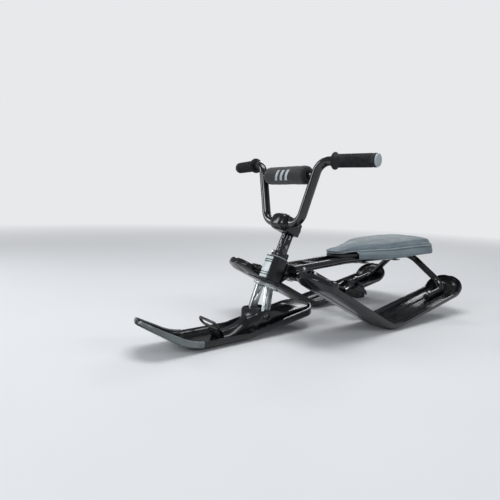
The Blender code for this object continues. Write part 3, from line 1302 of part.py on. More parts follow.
def build_brake(axes):
    pivot = brake_place()
    to_local = Matrix.Translation(-pivot)
    down, out = claw_axes()
    top = Vector((CLAW_TOP_Y, CLAW_TOP_Z))
    eye = Vector((pivot.y, pivot.z))
    pedal = Vector((PEDAL_Y, PEDAL_Z))
    half = ARM_HEIGHT / 2
    reach = (pedal - eye).normalized()
    side = Vector((-reach.y, reach.x))
    back = (top - pedal).normalized()
    back_side = Vector((-back.y, back.x))
    face = -CLAW_THICKNESS / 2 - GAP
    upper_end = top + out * face + down * 0.002
    lower_end = top + out * face + down * (ARM_HEIGHT + 0.004)
    outline = []
    steps = 7
    start = math.atan2(side.y, side.x)
    for k in range(steps + 1):
        angle = start + math.pi * k / steps
        outline.append(eye + Vector((math.cos(angle), math.sin(angle))) * EYE_RADIUS)
    outline += [pedal - side * half - reach * 0.004, pedal - Vector((0, half + 0.001)),
                pedal - back_side * half + back * 0.004, lower_end, upper_end,
                pedal + (side + back_side).normalized() * half]
    points = [(p.x, p.y) for p in outline]
    rod_place = (0, PEDAL_Y - pivot.y, PEDAL_Z - pivot.z)
    frame = add("brake_frame", placed(rod((-PEDAL_REACH, PEDAL_Y, PEDAL_Z), (PEDAL_REACH, PEDAL_Y, PEDAL_Z),
                                          PEDAL_ROD_RADIUS, ROUND), to_local), axes, "painted")
    holes = []
    for word, way in SIDES:
        low, high = sorted((way * arm_inside(), way * arm_outside()))
        weld(frame, [placed(prism(points, low, high), to_local @ side_view())], "brake_arm_" + word)
        holes.append(bore((low, 0, 0), (high, 0, 0), BRAKE_BOLT_RADIUS + RUN))
        outer = PEDAL_REACH
        inner = outer - PEDAL_LENGTH
        near, far = sorted((way * inner, way * outer))
        box = rounded_rectangle(PEDAL_DEPTH / 2, PEDAL_THICKNESS / 2, 0.004, 16)
        pad = add("brake_pedal_" + word, placed(prism([(PEDAL_Y + a, PEDAL_Z + b) for a, b in box], near, far),
                                                to_local @ side_view()), axes, "rubber", 0.001)
        cut(pad, [bore((near, *rod_place[1:]), (far, *rod_place[1:]), PEDAL_ROD_RADIUS + GAP)],
            "rod_hole_in_brake_pedal_" + word)
    cut(frame, holes, "pivot_holes_in_brake_frame")
    length = Vector((CLAW_TIP_Y - CLAW_TOP_Y, CLAW_TIP_Z - CLAW_TOP_Z)).length
    root_line = length - CLAW_TOOTH
    plate = [(-CLAW_WIDTH / 2, root_line), (-CLAW_WIDTH / 2, 0.006), (-CLAW_WIDTH / 2 + 0.006, 0),
             (CLAW_WIDTH / 2 - 0.006, 0), (CLAW_WIDTH / 2, 0.006), (CLAW_WIDTH / 2, root_line)]
    pitch = CLAW_WIDTH / CLAW_TEETH
    for k in range(CLAW_TEETH):
        right = CLAW_WIDTH / 2 - pitch * k
        if k:
            plate.append((right, root_line))
        plate.append((right - pitch * 0.35, length))
        plate.append((right - pitch * 0.65, length))
    frame = Matrix(((1, 0, 0, 0), (0, down.x, out.x, top.x), (0, down.y, out.y, top.y), (0, 0, 0, 1)))
    add("brake_claw", placed(prism(plate, -CLAW_THICKNESS / 2, CLAW_THICKNESS / 2), to_local @ frame), axes,
        "steel")


def build():
    for old in list(bpy.data.objects):
        bpy.data.objects.remove(old)
    root = empty("sled", Matrix.Identity(4))
    head = Matrix.Translation((0, HEAD_Y, HEAD_Z)) @ Matrix.Rotation(-RAKE, 4, "X")
    head_fixed = empty("steering_head", head, root)
    steering = empty("steering_axis", head, root)
    post = empty("bar_post_slide", Matrix.Identity(4), steering)
    pin = empty("height_pin_slide", Matrix.Identity(4), steering)
    ski = empty("front_ski_pivot", head.inverted() @ Matrix.Translation(pivot_place()), steering)
    brake = empty("brake_pivot", Matrix.Translation(brake_place()), root)
    build_frame(root)
    build_skis(root)
    build_head(head_fixed)
    build_steering(steering)
    build_pin(pin)
    build_bar(post, head.inverted())
    build_front_ski(ski)
    build_seat(root)
    build_brake_mount(root)
    build_brake(brake)


build()
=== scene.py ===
"""Looks of the steering sled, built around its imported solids. Metres, +Z up, -Y forward, +X rider's left."""
import json
from math import copysign, cos, exp, pi, radians, sin

import bmesh
import bpy
import numpy as np
from mathutils import Matrix, Vector, noise
from mathutils.bvhtree import BVHTree


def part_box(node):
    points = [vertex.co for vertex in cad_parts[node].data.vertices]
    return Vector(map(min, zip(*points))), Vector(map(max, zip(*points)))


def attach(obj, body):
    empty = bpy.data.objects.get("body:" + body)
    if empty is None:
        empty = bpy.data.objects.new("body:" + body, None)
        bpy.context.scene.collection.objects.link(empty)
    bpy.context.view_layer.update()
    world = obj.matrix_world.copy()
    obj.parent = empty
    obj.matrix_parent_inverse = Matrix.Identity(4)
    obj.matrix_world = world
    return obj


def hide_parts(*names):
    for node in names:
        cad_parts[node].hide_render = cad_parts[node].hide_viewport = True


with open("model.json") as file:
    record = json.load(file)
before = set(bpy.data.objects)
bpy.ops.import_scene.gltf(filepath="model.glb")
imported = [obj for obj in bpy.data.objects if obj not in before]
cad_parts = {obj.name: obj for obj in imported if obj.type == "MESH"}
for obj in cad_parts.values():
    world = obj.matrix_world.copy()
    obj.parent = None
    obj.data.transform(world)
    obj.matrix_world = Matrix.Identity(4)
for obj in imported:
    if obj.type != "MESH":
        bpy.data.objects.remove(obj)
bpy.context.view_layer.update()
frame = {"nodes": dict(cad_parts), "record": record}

SIDES = (("left", 1), ("right", -1))
Y_AXIS, Z_AXIS, DOWN = Vector((0, 1, 0)), Vector((0, 0, 1)), Vector((0, 0, -1))
RAKE = radians(25.0)
head_axes = Matrix.Translation((0, -0.1550, 0.130)) @ Matrix.Rotation(-RAKE, 4, "X")

# Camera at the photograph's angle

CAMERA_PLACE = Vector((0.926, -0.9424, 0.371))
CAMERA_TURN = radians(52.3)
CAMERA_RISE = radians(6.9)
CAMERA_ROLL = radians(1.65)
CAMERA_LENS, CAMERA_SENSOR = 31.5, 36


def set_camera():
    back = Vector((sin(CAMERA_TURN) * cos(CAMERA_RISE),
                   -cos(CAMERA_TURN) * cos(CAMERA_RISE), sin(CAMERA_RISE)))
    right = Vector((cos(CAMERA_TURN), sin(CAMERA_TURN), 0))
    up = back.cross(right)
    c, s = cos(CAMERA_ROLL), sin(CAMERA_ROLL)
    columns = (c * right + s * up, -s * right + c * up, back)
    data = bpy.data.cameras.new("photo_camera")
    data.lens, data.sensor_width = CAMERA_LENS, CAMERA_SENSOR
    data.clip_start = 0.02
    camera = bpy.data.objects.new("photo_camera", data)
    bpy.context.scene.collection.objects.link(camera)
    camera.matrix_world = Matrix.Translation(CAMERA_PLACE) @ Matrix(columns).transposed().to_4x4()
    bpy.context.scene.camera = camera


set_camera()


# Nodes, for finishes and for shapes

def node(tree, kind, sockets=(), **settings):
    """Adds a node; a socket takes a value, or the output that feeds it."""
    made = tree.nodes.new(kind)
    for name, value in settings.items():
        setattr(made, name, value)
    for key, value in dict(sockets).items():
        if isinstance(value, bpy.types.NodeSocket):
            tree.links.new(value, made.inputs[key])
        else:
            made.inputs[key].default_value = value
    return made


def out(tree, kind, sockets=(), output=0, **settings):
    """Adds a node and gives one of its outputs."""
    return node(tree, kind, sockets, **settings).outputs[output]


def maths(tree, operation, *values):
    return out(tree, "ShaderNodeMath", dict(enumerate(values)), operation=operation)


def rgb(colour):
    return (*colour, 1.0)


class Finish:
    """Principled finish whose patterns lie on Object coordinates."""

    def __init__(self, name, **sockets):
        self.made = bpy.data.materials.new(name)
        self.made.use_nodes = True
        self.tree = self.made.node_tree
        self.shader = self.tree.nodes["Principled BSDF"]
        for key, value in sockets.items():
            self.shader.inputs[key.replace("_", " ")].default_value = value
        self.place = out(self.tree, "ShaderNodeTexCoord", output="Object")
        self.bump = None

    def stretched(self, **mapping):
        """Object coordinates, scaled or turned."""
        return out(self.tree, "ShaderNodeMapping", {"Vector": self.place, **mapping})

    def speckle(self, scale, detail=4.0, roughness=0.55, place=None):
        place = self.place if place is None else place
        return out(self.tree, "ShaderNodeTexNoise", {"Vector": place, "Scale": scale, "Detail": detail,
                                                     "Roughness": roughness}, "Fac")

    def ranged(self, value, start, end, low=0.0, high=1.0):
        return out(self.tree, "ShaderNodeMapRange", {"Value": value, "From Min": start, "From Max": end,
                                                     "To Min": low, "To Max": high})

    def mixed(self, share, dark, light):
        """Colour between two colours or outputs by share."""
        dark, light = (rgb(c) if isinstance(c, tuple) else c for c in (dark, light))
        return out(self.tree, "ShaderNodeMix", {0: share, 6: dark, 7: light}, 2, data_type="RGBA")

    def colour(self, share, dark, light):
        self.tree.links.new(self.mixed(share, dark, light), self.shader.inputs["Base Color"])

    def rough(self, pattern, low, high, start=0.3, end=0.7):
        self.tree.links.new(self.ranged(pattern, start, end, low, high), self.shader.inputs["Roughness"])

    def relief(self, height, depth):
        """Fine relief of a given depth, over any relief that was laid before."""
        sockets = {"Height": height, "Distance": depth, "Strength": 1.0}
        if self.bump is not None:
            sockets["Normal"] = self.bump
        self.bump = out(self.tree, "ShaderNodeBump", sockets)
        self.tree.links.new(self.bump, self.shader.inputs["Normal"])


def gloss_paint():
    """Black stove enamel on tube: slight orange peel and faint dust."""
    paint = Finish("gloss_black_paint", Coat_Weight=0.5, Coat_Roughness=0.05)
    dust = paint.ranged(paint.speckle(34.0, 6.0), 0.5, 0.8)
    paint.colour(dust, (0.0042, 0.005, 0.0056), (0.011, 0.0125, 0.0135))
    paint.rough(paint.speckle(60.0), 0.14, 0.24)
    paint.relief(paint.speckle(260.0, 2.0), 0.000012)
    return paint.made


def plated_steel(name, dark, light):
    """Plated sheet steel with drawn lines and cloudy patches."""
    metal = Finish(name, Metallic=1.0)
    lines = metal.speckle(14.0, 5.0, place=metal.stretched(Scale=(60.0, 60.0, 6.0)))
    metal.colour(metal.ranged(metal.speckle(60.0, 5.0), 0.35, 0.65), dark, light)
    metal.rough(lines, 0.24, 0.44)
    metal.relief(lines, 0.00005)
    return metal.made


def moulded_plastic(name, dark, light, smooth, rough, scuff=0.35):
    """Moulded plastic: spark-eroded grain, flow patches and pale scuffs that run lengthwise."""
    plastic = Finish(name, Specular_IOR_Level=0.5)
    long = plastic.stretched(Scale=(1.0, 0.06, 1.0))
    streaks = plastic.ranged(plastic.speckle(90.0, 5.0, 0.6, long), 0.64, 0.82, 0.0, scuff)
    patches = plastic.ranged(plastic.speckle(16.0, 5.0), 0.35, 0.7)
    scuffed = tuple(min(1.0, c * 1.7 + 0.008) for c in light)
    plastic.colour(streaks, plastic.mixed(patches, dark, light), scuffed)
    plastic.rough(plastic.speckle(46.0, 6.0), smooth, rough)
    grain = out(plastic.tree, "ShaderNodeTexVoronoi", {"Vector": plastic.place, "Scale": 1300.0}, "Distance")
    plastic.relief(plastic.speckle(40.0, 3.0, place=long), 0.00003)
    plastic.relief(grain, 0.00001)
    return plastic.made


def rubber_finish():
    """Matt black rubber with bloom in the hollows."""
    rubber = Finish("black_rubber_skin", Specular_IOR_Level=0.35)
    bloom = rubber.ranged(rubber.speckle(70.0, 6.0), 0.4, 0.7)
    rubber.colour(bloom, (0.008, 0.009, 0.0105), (0.024, 0.027, 0.03))
    rubber.rough(rubber.speckle(150.0), 0.52, 0.78)
    rubber.relief(rubber.speckle(1100.0, 3.0), 0.00012)
    return rubber.made


def grained_vinyl(name, dark, light, smooth, rough):
    """Coated upholstery: pebbled cells with painted shade in the grooves between them, soft wear patches and a
    light sheen.
    """
    vinyl = Finish(name, Sheen_Weight=0.12, Sheen_Roughness=0.4)
    wear = vinyl.ranged(vinyl.speckle(11.0, 6.0), 0.36, 0.68)
    cells = out(vinyl.tree, "ShaderNodeTexVoronoi", {"Vector": vinyl.place, "Scale": 520.0}, "Distance",
                feature="DISTANCE_TO_EDGE")
    crease_relief_and_shade = vinyl.ranged(cells, 0.0, 0.16)
    # The grooves between the cells are painted darker as painted shade; the same mask also sinks them in the
    # relief.
    vinyl.colour(crease_relief_and_shade, tuple(c * 0.62 for c in dark), vinyl.mixed(wear, dark, light))
    vinyl.rough(vinyl.speckle(30.0), smooth, rough)
    vinyl.relief(vinyl.speckle(55.0, 4.0), 0.0006)
    vinyl.relief(crease_relief_and_shade, 0.00014)
    return vinyl.made


def foam_cloth():
    """Black stretch cloth over foam: fine ribbed knit with lint."""
    cloth = Finish("black_pad_cloth", Sheen_Weight=0.25, Sheen_Roughness=0.5)
    threads = [out(cloth.tree, "ShaderNodeTexWave",
                   {"Vector": cloth.place, "Scale": scale, "Distortion": bend}, "Fac", bands_direction=way)
               for scale, bend, way in ((330.0, 0.6, "X"), (260.0, 0.8, "Z"))]
    knit = maths(cloth.tree, "MULTIPLY", *threads)
    lint = cloth.ranged(cloth.speckle(900.0, 5.0), 0.62, 0.8, 0.0, 0.5)
    weave = cloth.mixed(knit, (0.008, 0.0085, 0.0095), (0.026, 0.0275, 0.031))
    cloth.colour(lint, weave, (0.1, 0.105, 0.11))
    cloth.rough(knit, 0.9, 0.7, 0.0, 1.0)
    cloth.relief(cloth.speckle(70.0, 3.0), 0.0005)
    cloth.relief(knit, 0.0002)
    return cloth.made


LABEL_MIDDLE = Vector((0, -0.033, 0.041))
LABEL_LINES, LABEL_LINE_WIDTH = (0.0142, 0.0202), 0.0032


def label_finish():
    """White label with a pair of dark lines at each end, laid across the steering axis."""
    label = Finish("striped_label", Coat_Weight=0.3, Coat_Roughness=0.2)
    tree = label.tree
    height = out(tree, "ShaderNodeSeparateXYZ", {0: label.stretched(Rotation=(RAKE, 0.0, 0.0))}, 2)
    middle = head_axes @ LABEL_MIDDLE
    along = maths(tree, "SUBTRACT", height, sin(RAKE) * middle.y + cos(RAKE) * middle.z)
    along = maths(tree, "ABSOLUTE", along)
    bands = [maths(tree, "MULTIPLY", maths(tree, "GREATER_THAN", along, start),
                   maths(tree, "LESS_THAN", along, start + LABEL_LINE_WIDTH)) for start in LABEL_LINES]
    aged = label.mixed(label.speckle(130.0, 6.0), (0.52, 0.6, 0.6), (0.66, 0.72, 0.72))
    label.colour(maths(tree, "ADD", *bands), aged, (0.02, 0.024, 0.026))
    label.rough(label.speckle(200.0), 0.28, 0.46)
    label.relief(label.speckle(700.0), 0.00004)
    return label.made


PAINT = gloss_paint()
STEEL = plated_steel("zinc_plated_steel", (0.46, 0.5, 0.5), (0.7, 0.72, 0.7))
DARK_STEEL = plated_steel("blackened_steel", (0.035, 0.04, 0.044), (0.09, 0.1, 0.105))
BLACK_PLASTIC = moulded_plastic("satin_black_plastic", (0.005, 0.006, 0.007), (0.012, 0.0135, 0.015),
                                0.24, 0.38)
SKI_PLASTIC = moulded_plastic("polished_ski_plastic", (0.0045, 0.0055, 0.0065), (0.0105, 0.012, 0.0135),
                              0.13, 0.26)
PALE_PLASTIC = moulded_plastic("pale_grey_plastic", (0.36, 0.4, 0.41), (0.47, 0.52, 0.53), 0.38, 0.58, 0.15)
# Pale grey for shells on the ski's nose: a painted reflection of light on its glossy walls.
NOSE_REFLECTION_GREY = moulded_plastic("painted_reflection_nose_grey", (0.1, 0.118, 0.124), (0.185, 0.21, 0.216), 0.24, 0.4, 0.3)
RUBBER = rubber_finish()
VINYL = grained_vinyl("grey_seat_vinyl", (0.15, 0.195, 0.22), (0.235, 0.3, 0.33), 0.4, 0.58)
# Near-black vinyl for the seat's lower front: painted shade on the front face, which turns away from the
# light.
NOSE_SHADE_VINYL = grained_vinyl("painted_shade_seat_vinyl", (0.006, 0.007, 0.008), (0.014, 0.016, 0.018), 0.2, 0.34)
# Paler than the seat vinyl, for the edge piping: a painted highlight along the seat's edge.
PIPING_PAINTED_HIGHLIGHT = grained_vinyl("painted_highlight_seat_piping", (0.3, 0.36, 0.38), (0.42, 0.49, 0.51), 0.25, 0.4)
THREAD = grained_vinyl("grey_seam_thread", (0.26, 0.31, 0.33), (0.36, 0.42, 0.44), 0.6, 0.8)
CLOTH = foam_cloth()
LABEL = label_finish()
FINISH = {"painted_black": PAINT, "plated_steel": STEEL, "black_plastic": BLACK_PLASTIC,
          "pale_plastic": PALE_PLASTIC, "black_rubber": RUBBER, "charcoal_vinyl": VINYL, "black_foam": CLOTH}


# Shapes by rule

def start_tree(name, sizes):
    """Geometry tree with named inputs, each (name, kind, value)."""
    tree = bpy.data.node_groups.new(name, "GeometryNodeTree")
    tree.interface.new_socket("Geometry", in_out="INPUT", socket_type="NodeSocketGeometry")
    for label, kind, value in sizes:
        made = tree.interface.new_socket(label, in_out="INPUT", socket_type="NodeSocket" + kind)
        if value is not None:
            made.default_value = value
    tree.interface.new_socket("Geometry", in_out="OUTPUT", socket_type="NodeSocketGeometry")
    given = tree.nodes.new("NodeGroupInput").outputs
    return tree, given


def end_tree(tree, shape, given):
    """Smooths, sets the finish and makes real what the tree has placed."""
    done = out(tree, "GeometryNodeRealizeInstances", {"Geometry": shape})
    angle = out(tree, "GeometryNodeInputMeshEdgeAngle", output="Unsigned Angle")
    flat = out(tree, "FunctionNodeCompare", {0: angle, 1: given["Smooth Angle"]}, data_type="FLOAT",
               operation="LESS_THAN")
    done = out(tree, "GeometryNodeSetShadeSmooth", {"Geometry": done}, domain="FACE")
    done = out(tree, "GeometryNodeSetShadeSmooth", {"Geometry": done, "Shade Smooth": flat}, domain="EDGE")
    if "Finish" in given:
        done = out(tree, "GeometryNodeSetMaterial", {"Geometry": done, "Material": given["Finish"]})
    node(tree, "NodeGroupOutput", {"Geometry": done})
    return tree


SMOOTH = ("Smooth Angle", "Float", radians(40))
GROWN = (SMOOTH, ("Finish", "Material", None))


def bent_tube_tree():
    """Round tube along a chain of edges whose corners are rounded."""
    tree, given = start_tree("bent_tube", [("Radius", "Float", 0.01), ("Bend Radius", "Float", 0.0),
                                           ("Bend Steps", "Int", 12), ("Sides", "Int", 32), *GROWN])
    line = out(tree, "GeometryNodeMeshToCurve", {"Mesh": given["Geometry"]})
    bend = {"Curve": line, "Radius": given["Bend Radius"], "Count": given["Bend Steps"], "Limit Radius": True}
    bent = out(tree, "GeometryNodeFilletCurve", bend, mode="POLY")
    size = {"Resolution": given["Sides"], "Radius": given["Radius"]}
    ring = out(tree, "GeometryNodeCurvePrimitiveCircle", size)
    tube = out(tree, "GeometryNodeCurveToMesh", {"Curve": bent, "Profile Curve": ring, "Fill Caps": True})
    return end_tree(tree, tube, given)


def copies_on(tree, given, points, way):
    """Ends a tree with copies of its shape on points, their +Z along way."""
    turn = out(tree, "FunctionNodeAlignRotationToVector", {"Vector": way}, axis="Z")
    shape = out(tree, "GeometryNodeObjectInfo", {"Object": given["Shape"]}, "Geometry")
    placed = out(tree, "GeometryNodeInstanceOnPoints",
                 {"Points": points, "Instance": shape, "Rotation": turn})
    return end_tree(tree, placed, given)


def row_along_tree():
    """Copies of one shape, evenly spaced along a chain of edges, their +Z along it."""
    tree, given = start_tree("row_along", [("Shape", "Object", None), ("Count", "Int", 10), *GROWN])
    line = out(tree, "GeometryNodeMeshToCurve", {"Mesh": given["Geometry"]})
    spaced = out(tree, "GeometryNodeResampleCurve", {"Curve": line, "Count": given["Count"]})
    return copies_on(tree, given, spaced, out(tree, "GeometryNodeInputTangent"))


def fasteners_tree():
    """Copies of one shape on loose points, their +Z along each point's facing."""
    tree, given = start_tree("fasteners", [("Shape", "Object", None), *GROWN])
    way = out(tree, "GeometryNodeInputNamedAttribute", {"Name": "facing"}, data_type="FLOAT_VECTOR")
    return copies_on(tree, given, given["Geometry"], way)


def smooth_shell_tree():
    """Smooth shading up to an angle, for a solid whose loose faces are joined."""
    tree, given = start_tree("smooth_shell", [SMOOTH])
    return end_tree(tree, given["Geometry"], given)


BENT_TUBE = bent_tube_tree()
ROW_ALONG = row_along_tree()
FASTENERS = fasteners_tree()
SMOOTH_SHELL = smooth_shell_tree()


def new_object(name, mesh):
    made = bpy.data.objects.new(name, mesh)
    bpy.context.scene.collection.objects.link(made)
    return made


def raw_mesh(name, points, faces=(), edges=()):
    mesh = bpy.data.meshes.new(name)
    mesh.from_pydata([tuple(p) for p in points], edges, faces)
    return mesh


def set_tree(obj, tree, sizes):
    """Modifier that runs a tree, with its inputs set by their identifiers."""
    made = obj.modifiers.new(tree.name, "NODES")
    made.node_group = tree
    for item in tree.interface.items_tree:
        if item.in_out == "INPUT" and item.name in sizes:
            made[item.identifier] = sizes[item.name]
    return made


def baked(obj):
    """Plain mesh of an object with its modifiers applied."""
    graph = bpy.context.evaluated_depsgraph_get()
    graph.update()
    return bpy.data.meshes.new_from_object(obj.evaluated_get(graph), preserve_all_data_layers=True,
                                           depsgraph=graph)


def discard(*objects):
    for each in objects:
        bpy.data.objects.remove(each)


def sealed(mesh, smooth_angle=40):
    """Merges doubles, turns every face outwards and shades smooth up to an angle."""
    bm = bmesh.new()
    bm.from_mesh(mesh)
    bmesh.ops.remove_doubles(bm, verts=bm.verts, dist=0.000005)
    bmesh.ops.recalc_face_normals(bm, faces=bm.faces)
    bm.to_mesh(mesh)
    bm.free()
    mesh.shade_smooth()
    mesh.set_sharp_from_angle(angle=radians(smooth_angle))
    return mesh


def fit(obj, body, slot, *nodes):
    """Puts a finished piece on its body in place of the nodes it stands for, which it hides. The slot argument
    is not used.
    """
    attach(obj, body)
    if nodes:
        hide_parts(*nodes)
    return obj


def plain_piece(name, mesh, finish, body, slot, *nodes, bevel=0.0):
    obj = new_object(name, mesh)
    finished(mesh, finish)
    if bevel:
        soften(obj, bevel)
    return fit(obj, body, slot, *nodes)


def soften(obj, width, angle=35, segments=2):
    made = obj.modifiers.new("edge_rounding", "BEVEL")
    made.width = width
    made.segments = segments
    made.limit_method = "ANGLE"
    made.angle_limit = radians(angle)
    made.harden_normals = False
    made.use_clamp_overlap = True


def grown_piece(name, tree, start, finish, body, slot, *nodes, shape=None, **sizes):
    """Piece that a tree grows from a start mesh, with copies of shape, turned into a plain mesh."""
    helpers = [new_object("seed", start)]
    if shape is not None:
        helpers.append(new_object("shape", shape))
        sizes["Shape"] = helpers[1]
    set_tree(helpers[0], tree, {"Finish": finish, **{k.replace("_", " "): v for k, v in sizes.items()}})
    mesh = baked(helpers[0])
    discard(*helpers)
    mesh.name = name
    return fit(new_object(name, mesh), body, slot, *nodes)


def steps_of(count, closed):
    """Pairs of neighbours among count points, round to the first where closed."""
    return [(k, (k + 1) % count) for k in range(count if closed else count - 1)]


def grid_faces(rows, columns, closed_rows=False, closed_columns=False):
    """Faces between points that are listed row by row."""
    return [(a * columns + k, a * columns + n, b * columns + n, b * columns + k)
            for a, b in steps_of(rows, closed_rows) for k, n in steps_of(columns, closed_columns)]


def chain(points, closed=False):
    return raw_mesh("chain", points, edges=steps_of(len(points), closed))


def facing_points(places):
    """Loose points, each (place, facing)."""
    mesh = raw_mesh("points", [p for p, _ in places])
    facing = mesh.attributes.new("facing", "FLOAT_VECTOR", "POINT")
    facing.data.foreach_set("vector", [c for _, way in places for c in way])
    return mesh


def tube(name, points, radius, finish, body, slot, *nodes, bend=0.0, sides=32, steps=14, closed=False):
    return grown_piece(name, BENT_TUBE, chain(points, closed), finish, body, slot, *nodes, Radius=radius,
                       Bend_Radius=bend, Bend_Steps=steps, Sides=sides)


def lofted(name, rings, smooth_angle=40):
    """Skin over a chain of rings, closed at both ends."""
    count = len(rings[0])
    points = [p for ring in rings for p in ring]
    faces = grid_faces(len(rings), count, closed_columns=True)
    faces += [tuple(range(count))[::-1], tuple(range(len(points) - count, len(points)))]
    return sealed(raw_mesh(name, points, faces), smooth_angle)


def circle(sides):
    """Cosine and sine of each corner of a ring."""
    return [(cos(2 * pi * k / sides), sin(2 * pi * k / sides)) for k in range(sides)]


def turned(name, profile, place=Matrix(), sides=48, ring=False):
    """Shape turned about the +Z of place, from (radius, height) pairs. ring closes the profile on itself."""
    points = [place @ Vector((r * c, r * s, z)) for c, s in circle(sides) for r, z in profile]
    return sealed(raw_mesh(name, points, grid_faces(sides, len(profile), True, ring)))


def pointing(place, way):
    """Frame at place whose +Z points along way."""
    return Matrix.Translation(place) @ Vector(way).to_track_quat("Z", "Y").to_matrix().to_4x4()


def joined_copy(name, node_name):
    """Copy of a node's mesh with its loose faces joined."""
    mesh = frame["nodes"][node_name].data.copy()
    mesh.name = name
    return sealed(mesh)


def cut_shape(mesh, cutters, bevel=0.0):
    """Plain mesh with cutters taken out of it, and rounded edges where bevel is given."""
    obj = new_object("cut_shape", mesh)
    tools = [new_object("cutter", cutter) for cutter in cutters]
    for tool in tools:
        made = obj.modifiers.new("cut", "BOOLEAN")
        made.object = tool
        made.solver = "EXACT"
    if bevel:
        soften(obj, bevel)
    done = baked(obj)
    discard(obj, *tools)
    return done


def fine_faces(obj):
    made = obj.modifiers.new("fine_faces", "SUBSURF")
    made.levels = made.render_levels = 1


def sheet(name, rows, thickness, smooth_angle, fine=False):
    """Closed shell of even thickness over rows of points."""
    faces = grid_faces(len(rows), len(rows[0]))
    obj = new_object(name, raw_mesh(name, [p for row in rows for p in row], faces))
    thick = obj.modifiers.new("thickness", "SOLIDIFY")
    thick.thickness = thickness
    thick.offset = 0.0
    if fine:
        fine_faces(obj)
    mesh = baked(obj)
    discard(obj)
    return sealed(mesh, smooth_angle)


def finished(mesh, *finishes):
    mesh.materials.clear()
    for finish in finishes:
        mesh.materials.append(finish)


# Skis

TIP_END = radians(9)


def keel_line(touch_y, flat, front, rear, tip=0.046):
    """Stations (y, z, slope, share of width) along a ski's underside from front to rear."""
    halves = []
    for sign, (radius, rise, straight, curl_radius, curl) in ((-1, front), (1, rear)):
        half = [(flat / 2 + radius * sin(a), radius * (1 - cos(a)), a, 1.0)
                for a in [rise * k / 12 for k in range(13)]]
        y, z = half[-1][:2]
        half += [(y + run * cos(rise), z + run * sin(rise), rise, 1.0)
                 for run in [straight * k / 16 for k in range(1, 17)]]
        y, z = half[-1][:2]
        half += [(y + curl_radius * (sin(a) - sin(rise)), z + curl_radius * (cos(rise) - cos(a)), a, 1.0)
                 for a in [rise + curl * k / 12 for k in range(1, 13 if curl else 1)]]
        y, z, slope = half[-1][:3]
        for k in range(1, 17):
            angle = pi / 2 - (pi / 2 - TIP_END) * k / 16
            run = tip * cos(angle) / cos(TIP_END)
            half.append((y + run * cos(slope), z + run * sin(slope), slope, sin(angle)))
        halves.append([(touch_y + sign * y, z, sign * slope, share) for y, z, slope, share in half])
    return halves[0][::-1] + halves[1]


def above_keel(station, height):
    y, z, slope, _ = station
    return y - height * sin(slope), z + height * cos(slope)


def ski_section(half_width, floor, rim, ridge, closing):
    """Right half of a ski's section from the middle of its base round to the middle of its floor."""
    lift = (rim - floor - 0.0022) * closing ** 2
    top = floor + lift
    high = top + ridge
    groove = 0.0012 * (1 - closing)
    outer, inner = half_width, half_width - 0.006
    return [(0.0, groove), (0.0035, groove), (0.0050, 0.0), (half_width * 0.5, 0.0),
            (half_width * 0.56, 0.0004), (outer - 0.0075, 0.0034), (outer - 0.0035, 0.0050),
            (outer - 0.0012, 0.0072), (outer, 0.0100), (outer, rim - 0.0036), (outer + 0.0009, rim - 0.0026),
            (outer + 0.0009, rim - 0.0008), (outer, rim), (inner + 0.0008, rim), (inner, rim - 0.0008),
            (inner - 0.0015, top + (rim - top) * 0.62), (inner - 0.0042, top + (rim - top) * 0.24),
            (inner - 0.0085, top + 0.0007), (half_width - 0.024, top), (0.0275, top),
            (0.0264, top + ridge * 0.5), (0.0248, high), (0.0182, high), (0.0166, top + ridge * 0.5),
            (0.0155, top), (0.0, top)]


def ski_mesh(name, stations, half_width, floor, rims, ridge, centre_x=0.0):
    """Channel ski with a bead along its rims, a keel groove below and two ridges on its floor."""
    last = len(stations) - 1
    rings = []
    for k, station in enumerate(stations):
        share = station[3]
        closing = (1 - share) / (1 - sin(TIP_END))
        rim = rims[0] + (rims[1] - rims[0]) * k / last
        fade = max(0.0, 1 - closing * 6)
        right = ski_section(half_width, floor, rim, ridge * fade, closing)
        section = right + [(-x, h) for x, h in right[-2:0:-1]]
        rings.append([(centre_x + x * share, *above_keel(station, h)) for x, h in section])
    return lofted(name, rings, smooth_angle=32)


def reflection_shell_over_rim(name, stations, half_width, rims, total, side):
    """Shell over one rim and its outer wall, on the first run of a ski's stations, which carries the painted
    reflection on the nose.
    """
    rings = []
    for k, station in enumerate(stations):
        rim = rims[0] + (rims[1] - rims[0]) * k / total
        section = [(-0.0024, 0.0046), (0.0012, 0.0070), (0.0018, 0.0100), (0.0022, rim - 0.0005),
                   (0.0012, rim + 0.0012), (-0.0066, rim + 0.0012), (-0.0080, rim - 0.0004),
                   (-0.0080, rim - 0.0020), (-0.0062, rim - 0.0006), (-0.0002, rim + 0.0003),
                   (0.0010, rim - 0.0012), (0.0006, 0.0100), (0.0002, 0.0074), (-0.0028, 0.0054)]
        rings.append([(side * (half_width + x) * station[3], *above_keel(station, h)) for x, h in section])
    return lofted(name, rings, smooth_angle=32)


REAR_KEEL = keel_line(0.1696, 0.020, (0.099, radians(27.5), 0.270, 0.055, radians(12)),
                      (0.099, radians(10), 0.296, 0.055, radians(40)))
FRONT_KEEL = keel_line(-0.3204, 0.120, (0.180, radians(32), 0.042, 0, 0),
                       (0.150, radians(8.5), 0.184, 0, 0))
REAR_HALF_WIDTH, REAR_FLOOR, REAR_RIMS, REAR_RIDGE = 0.061, 0.0065, (0.019, 0.019), 0.0035
FRONT_HALF_WIDTH, FRONT_FLOOR, FRONT_RIMS = 0.060, 0.007, (0.011, 0.030)
# Where the nose's pale shells, a painted reflection, end along the front keel.
NOSE_REFLECTION_END = -0.402
SKI_OFFSET = 0.154


